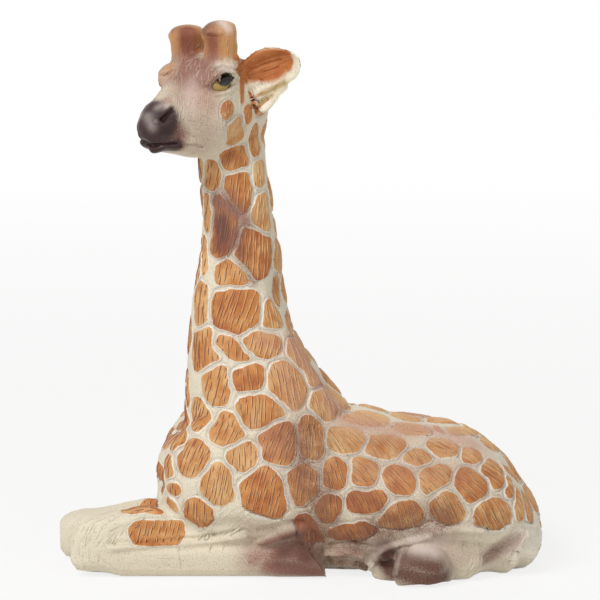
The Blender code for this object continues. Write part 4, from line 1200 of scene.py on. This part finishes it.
def stroke_tree():
    """Scatters tapered ridges over a surface, along its "lie", and lays them onto it."""
    tree = bpy.data.node_groups.new("carved_strokes", "GeometryNodeTree")
    face = tree.interface
    face.new_socket(name="Geometry", in_out="INPUT", socket_type="NodeSocketGeometry")
    for name, kind, _ in STROKE_INPUTS:
        face.new_socket(name=name, in_out="INPUT", socket_type=kind)
    face.new_socket(name="Material", in_out="INPUT", socket_type="NodeSocketMaterial")
    face.new_socket(name="Geometry", in_out="OUTPUT", socket_type="NodeSocketGeometry")
    given = add(tree, "NodeGroupInput").outputs
    ground = given["Geometry"]
    values = {
        name: add(tree, "GeometryNodeInputNamedAttribute", {
            "data_type": "FLOAT_VECTOR" if name == "lie" else "FLOAT",
        }, {"Name": name}).outputs["Attribute"]
        for name in ("carved", "lie", "span", "rise", "inside")
    }
    spots = add(tree, "GeometryNodeDistributePointsOnFaces", {"distribute_method": "POISSON"}, {
        "Mesh": ground, "Distance Min": given["Spacing"], "Density Max": given["Density"],
        "Density Factor": values["carved"], "Seed": given["Seed"],
    })
    # A ridge is a drawn-out ball: its long way is local Z and it stands up along local X
    shape = add(tree, "GeometryNodeMeshUVSphere", {}, {"Segments": 4, "Rings": 5, "Radius": 1.0}).outputs[0]
    place = add(tree, "GeometryNodeInputPosition").outputs[0]
    apart = add(tree, "ShaderNodeSeparateXYZ", {}, {0: place}).outputs
    # flank runs across each ridge from one side to the other; the paint puts painted shade on one side
    for name, way in (("rise", "X"), ("flank", "Y")):
        shape = add(tree, "GeometryNodeStoreNamedAttribute", {"data_type": "FLOAT", "domain": "POINT"}, {
            "Geometry": shape, "Name": name, "Value": apart[way],
        }).outputs[0]
    along = add(tree, "FunctionNodeAlignRotationToVector", {"axis": "Z"}, {"Vector": values["lie"]})
    upright = add(tree, "FunctionNodeAlignRotationToVector", {"axis": "X", "pivot_axis": "Z"}, {
        "Rotation": along.outputs[0], "Vector": spots.outputs["Normal"],
    })
    uneven = add(tree, "FunctionNodeRandomValue", {"data_type": "FLOAT"}, {"Min": 0.5, "Max": 1.25})
    room = add(tree, "ShaderNodeMath", {"operation": "MULTIPLY"}, {0: values["span"], 1: uneven.outputs[1]})
    long = add(tree, "ShaderNodeMath", {"operation": "MULTIPLY"}, {
        0: given["Half length"], 1: room.outputs[0],
    })
    tall = add(tree, "ShaderNodeMath", {"operation": "MULTIPLY"}, {0: values["rise"], 1: given["Height"]})
    size = add(tree, "ShaderNodeCombineXYZ", {}, {
        "X": given["Height"], "Y": given["Half width"], "Z": long.outputs[0],
    })
    copies = add(tree, "GeometryNodeInstanceOnPoints", {}, {
        "Points": spots.outputs["Points"], "Instance": shape, "Rotation": upright.outputs[0],
        "Scale": size.outputs[0],
    })
    real = add(tree, "GeometryNodeRealizeInstances", {}, {"Geometry": copies.outputs[0]})
    # Each ridge bends with the surface under it, and takes the net's colour where it runs off its patch
    nearest = add(tree, "GeometryNodeProximity", {"target_element": "FACES"}, {0: ground})
    normal = add(tree, "GeometryNodeInputNormal").outputs[0]
    facing, beneath = (
        add(tree, "GeometryNodeSampleNearestSurface", {"data_type": kind}, {"Mesh": ground, "Value": value})
        for kind, value in (("FLOAT_VECTOR", normal), ("FLOAT", values["inside"]))
    )
    lift = add(tree, "ShaderNodeVectorMath", {"operation": "SCALE"}, {
        0: facing.outputs["Value"], "Scale": tall.outputs[0],
    })
    target = add(tree, "ShaderNodeVectorMath", {"operation": "ADD"}, {
        0: nearest.outputs["Position"], 1: lift.outputs[0],
    })
    shape = add(tree, "GeometryNodeSetPosition", {}, {
        "Geometry": real.outputs[0], "Position": target.outputs[0],
    }).outputs[0]
    for name, value in (("inside", beneath.outputs["Value"]), ("ridge", 1.0)):
        shape = add(tree, "GeometryNodeStoreNamedAttribute", {"data_type": "FLOAT", "domain": "POINT"}, {
            "Geometry": shape, "Name": name, "Value": value,
        }).outputs[0]
    smooth = add(tree, "GeometryNodeSetShadeSmooth", {}, {0: shape})
    painted = add(tree, "GeometryNodeSetMaterial", {}, {0: smooth.outputs[0], "Material": given["Material"]})
    add(tree, "NodeGroupOutput", {}, {"Geometry": painted.outputs[0]})
    return tree


def strokes(name, parts, sizes=None):
    """The carved hair on the named parts, as one piece."""
    skin = casting()
    chosen = np.isin(skin.parts, [PARTS.index(part) for part in parts])
    used, faces = np.unique(skin.faces[chosen], return_inverse=True)
    mesh = bpy.data.meshes.new(name)
    mesh.from_pydata((skin.points[used] * MM).tolist(), [], faces.reshape(-1, 4).tolist())
    lay_values(mesh, used)
    host = placed(f"{name}_host", mesh)
    tree = bpy.data.node_groups.get("carved_strokes") or stroke_tree()
    carve = host.modifiers.new("carve", "NODES")
    carve.node_group = tree
    sockets = {item.name: item.identifier for item in tree.interface.items_tree if item.in_out == "INPUT"}
    for label, _, value in STROKE_INPUTS:
        carve[sockets[label]] = (sizes or {}).get(label, value)
    carve[sockets["Material"]] = painted_resin()
    graph = bpy.context.evaluated_depsgraph_get()
    made = placed(name, bpy.data.meshes.new_from_object(host.evaluated_get(graph)))
    bpy.data.objects.remove(host)
    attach(made, "root")


class GIRAFFE_OT_strokes(bpy.types.Operator):
    """Carved hair strokes over the coat"""
    bl_idname = "giraffe.strokes"
    bl_label = "Carved hair"

    def execute(self, context):
        strokes("neck_strokes", ("neck",))
        strokes("torso_strokes", ("torso", "tail"))
        strokes("leg_strokes", LEGS)
        strokes("head_strokes", HEAD_PARTS, HEAD_STROKES)
        return {"FINISHED"}


# Corners of the left eye by pixel, its half height, bulge and sink in millimetres
EYE_CORNERS = ((212, 88), (234, 79))
EYE_HALF_HEIGHT = 1.30
EYE_BULGE = 0.85
EYE_SINK = -0.28
FAR_EYE_SINK = 0.55
FAR_EYE_SHARE = 0.78
EYE_GRID = (24, 40)
# Spots that make up the pupil, in shares of the eye: along, up, half width and half height
PUPIL = ((-0.02, 0.20, 0.60, 0.88), (0.60, 0.22, 0.42, 0.62))


def varnished_eye():
    """Gloss black pupil in an ochre iris under clear varnish, which gives the eye its wet spark."""
    paint = bpy.context.scene.giraffe_paint
    made, tree = new_material("varnished_eye")
    pupil = add(tree, "ShaderNodeAttribute", {"attribute_name": "pupil"}).outputs["Fac"]
    iris = add(tree, "ShaderNodeMix", {"data_type": "RGBA"}, {
        0: pupil, 6: (*paint.ochre, 1.0), 7: (*paint.black, 1.0),
    })
    surface = add(tree, "ShaderNodeBsdfPrincipled", {}, {
        "Roughness": 0.18, "IOR": 1.40, "Base Color": iris.outputs[2],
    })
    add(tree, "ShaderNodeOutputMaterial", {}, {"Surface": surface.outputs[0]})
    return made


def eyeball(name, far, material):
    """A flattened ball along the line between the eye's corners, with its pupil marked."""
    casting()
    tree = MADE["tree"]
    ends = [touch(tree, *corner)[0] for corner in EYE_CORNERS]
    facing = touch(tree, *np.mean(EYE_CORNERS, axis=0))[1]
    middle, long_way = (ends[0] + ends[1]) / 2, unit(ends[1] - ends[0])
    facing = unit(facing - long_way * (facing @ long_way))
    high_way = np.cross(facing, long_way)
    half = np.linalg.norm(ends[1] - ends[0]) / 2 * (FAR_EYE_SHARE if far else 1)
    rows, columns = EYE_GRID
    turn = np.linspace(0, 2 * np.pi, columns, endpoint=False)
    rise = np.linspace(0, np.pi, rows + 1)[1:-1]
    rise, turn = (grid.ravel() for grid in np.meshgrid(rise, turn, indexing="ij"))
    shape = np.stack([np.sin(rise) * np.cos(turn), np.sin(rise) * np.sin(turn), np.cos(rise)], axis=1)
    shape = np.concatenate([shape, [(0, 0, 1), (0, 0, -1)]])
    # The lower rear is drawn in under the lid
    shape[:, 1] *= 1 - 0.85 * np.clip(shape[:, 0] + 0.1, 0, 1) * (shape[:, 1] < 0)
    centre = middle - facing * (EYE_SINK + (FAR_EYE_SINK if far else 0))
    points = centre + shape[:, :1] * long_way * half + shape[:, 1:2] * high_way * EYE_HALF_HEIGHT
    points = points + shape[:, 2:] * facing * EYE_BULGE
    last, top, bottom = (rows - 2) * columns, len(shape) - 2, len(shape) - 1
    faces = []
    for k in range(columns):
        after = (k + 1) % columns
        faces += [(top, k, after), (last + after, last + k, bottom)]
        faces += [
            (row + k, row + columns + k, row + columns + after, row + after)
            for row in range(0, last, columns)
        ]
    if far:
        points = mirrored(points, True)
        faces = [face[::-1] for face in faces]
    mesh = bpy.data.meshes.new(name)
    mesh.from_pydata((points * MM).tolist(), [], faces)
    mesh.shade_smooth()
    pupil = np.min([
        np.hypot((shape[:, 0] - along) / wide, (shape[:, 1] - up) / tall) for along, up, wide, tall in PUPIL
    ], axis=0)
    mesh.attributes.new("pupil", "FLOAT", "POINT").data.foreach_set("value", 1 - ramp(pupil, 0.85, 1.05))
    mesh.materials.append(material)
    made = placed(f"{name}_ball", mesh)
    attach(made, "root")
    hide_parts(name)


class GIRAFFE_OT_eyes(bpy.types.Operator):
    """Varnished eyes under their lids"""
    bl_idname = "giraffe.eyes"
    bl_label = "Eyes"

    def execute(self, context):
        material = varnished_eye()
        eyeball("left_eye", False, material)
        eyeball("right_eye", True, material)
        return {"FINISHED"}


def seen_directly(tree):
    """1 for what the camera sees straight, by reflection or through glass, and 0 for other light."""
    path = add(tree, "ShaderNodeLightPath").outputs
    seen = path["Is Camera Ray"]
    for ray in ("Is Glossy Ray", "Is Transmission Ray"):
        seen = add(tree, "ShaderNodeMath", {"operation": "MAXIMUM"}, {0: seen, 1: path[ray]}).outputs[0]
    return seen


def pale_floor(hue):
    """Matt pale board that goes over to plain white where the camera sees it."""
    made, tree = new_material("pale_floor")
    matt = add(tree, "ShaderNodeBsdfDiffuse", {}, {"Color": (*hue, 1.0)}).outputs[0]
    white = add(tree, "ShaderNodeEmission", {}, {"Color": (1, 1, 1, 1), "Strength": 1.0}).outputs[0]
    place = add(tree, "ShaderNodeTexCoord").outputs["Object"]
    away = add(tree, "ShaderNodeVectorMath", {"operation": "LENGTH"}, {0: place}).outputs["Value"]
    # White from 0.7 m, and four fifths white at the figure, which leaves its shadow
    for kind, settings, inputs in (
        ("ShaderNodeMapRange", {"interpolation_type": "SMOOTHSTEP"}, {1: 0.08, 2: 0.7}),
        ("ShaderNodeMath", {"operation": "MULTIPLY_ADD"}, {1: 0.20, 2: 0.80}),
        ("ShaderNodeMath", {"operation": "MULTIPLY"}, {1: seen_directly(tree)}),
    ):
        away = add(tree, kind, settings, {0: away, **inputs}).outputs[0]
    both = add(tree, "ShaderNodeMixShader", {}, {0: away, 1: matt, 2: white})
    add(tree, "ShaderNodeOutputMaterial", {}, {"Surface": both.outputs[0]})
    return made


class GIRAFFE_OT_stage(bpy.types.Operator):
    """Pale floor, soft lights and the photograph's camera"""
    bl_idname = "giraffe.stage"
    bl_label = "Stage"

    def execute(self, context):
        stage = context.scene.giraffe_stage
        mesh = bpy.data.meshes.new("floor")
        mesh.from_pydata([(-3, -3, 0), (3, -3, 0), (3, 3, 0), (-3, 3, 0)], [], [(0, 1, 2, 3)])
        mesh.materials.append(pale_floor(stage.floor))
        placed("floor", mesh)
        world = bpy.data.worlds.new("studio")
        world.use_nodes = True
        sky = world.node_tree
        sky.nodes.clear()
        level = add(sky, "ShaderNodeMath", {"operation": "MULTIPLY_ADD"}, {
            0: seen_directly(sky), 1: 1.0 - stage.sky, 2: stage.sky,
        })
        glow = add(sky, "ShaderNodeBackground", {}, {"Color": (1, 1, 1, 1), "Strength": level.outputs[0]})
        add(sky, "ShaderNodeOutputWorld", {}, {"Surface": glow.outputs[0]})
        context.scene.world = world
        for name, where, power, size in (
            ("key_light", (-0.34, -0.42, 0.52), stage.key, 0.34),
            ("fill_light", (0.46, -0.44, 0.26), stage.fill, 0.40),
            ("back_light", (0.16, 0.42, 0.46), stage.fill, 0.36),
        ):
            lamp = bpy.data.lights.new(name, "AREA")
            lamp.energy, lamp.size = power, size
            holder = placed(name, lamp)
            holder.location = where
            holder.rotation_euler = (VIEW_AIM - Vector(where)).to_track_quat("-Z", "Y").to_euler()
        towards = camera_axes()[0]
        lens = bpy.data.cameras.new("photo_camera")
        lens.lens, lens.sensor_width, lens.clip_start = VIEW_LENS, VIEW_SENSOR, 0.01
        camera = placed("photo_camera", lens)
        camera.location = VIEW_AIM + towards * VIEW_DISTANCE
        camera.rotation_euler = (-towards).to_track_quat("-Z", "Y").to_euler()
        context.scene.camera = camera
        context.scene.view_settings.view_transform = "Standard"
        return {"FINISHED"}


class GIRAFFE_PT_panel(bpy.types.Panel):
    """Lists the figure's pieces"""
    bl_idname = "GIRAFFE_PT_panel"
    bl_label = "Resin giraffe"
    bl_space_type = "VIEW_3D"
    bl_region_type = "UI"
    bl_category = "Giraffe"

    def draw(self, context):
        for operator in OPERATORS:
            self.layout.operator(operator.bl_idname)
        for group in GROUPS:
            settings = getattr(context.scene, group)
            for name in settings.__annotations__:
                self.layout.prop(settings, name)


GROUPS = {
    "giraffe_relief": GIRAFFE_PG_relief,
    "giraffe_paint": GIRAFFE_PG_paint,
    "giraffe_stage": GIRAFFE_PG_stage,
}
OPERATORS = (
    GIRAFFE_OT_stage, GIRAFFE_OT_torso, GIRAFFE_OT_neck, GIRAFFE_OT_head, GIRAFFE_OT_ears,
    GIRAFFE_OT_ossicones, GIRAFFE_OT_eyes, GIRAFFE_OT_legs, GIRAFFE_OT_tail, GIRAFFE_OT_strokes,
)


def register():
    for name, group in GROUPS.items():
        bpy.utils.register_class(group)
        setattr(bpy.types.Scene, name, PointerProperty(type=group))
    for operator in OPERATORS:
        bpy.utils.register_class(operator)
    bpy.utils.register_class(GIRAFFE_PT_panel)


def unregister():
    bpy.utils.unregister_class(GIRAFFE_PT_panel)
    for operator in reversed(OPERATORS):
        bpy.utils.unregister_class(operator)
    for name, group in GROUPS.items():
        delattr(bpy.types.Scene, name)
        bpy.utils.unregister_class(group)


def main():
    register()
    for operator in OPERATORS:
        getattr(bpy.ops.giraffe, operator.bl_idname.split(".")[1])()


if __name__ == "__main__":
    main()
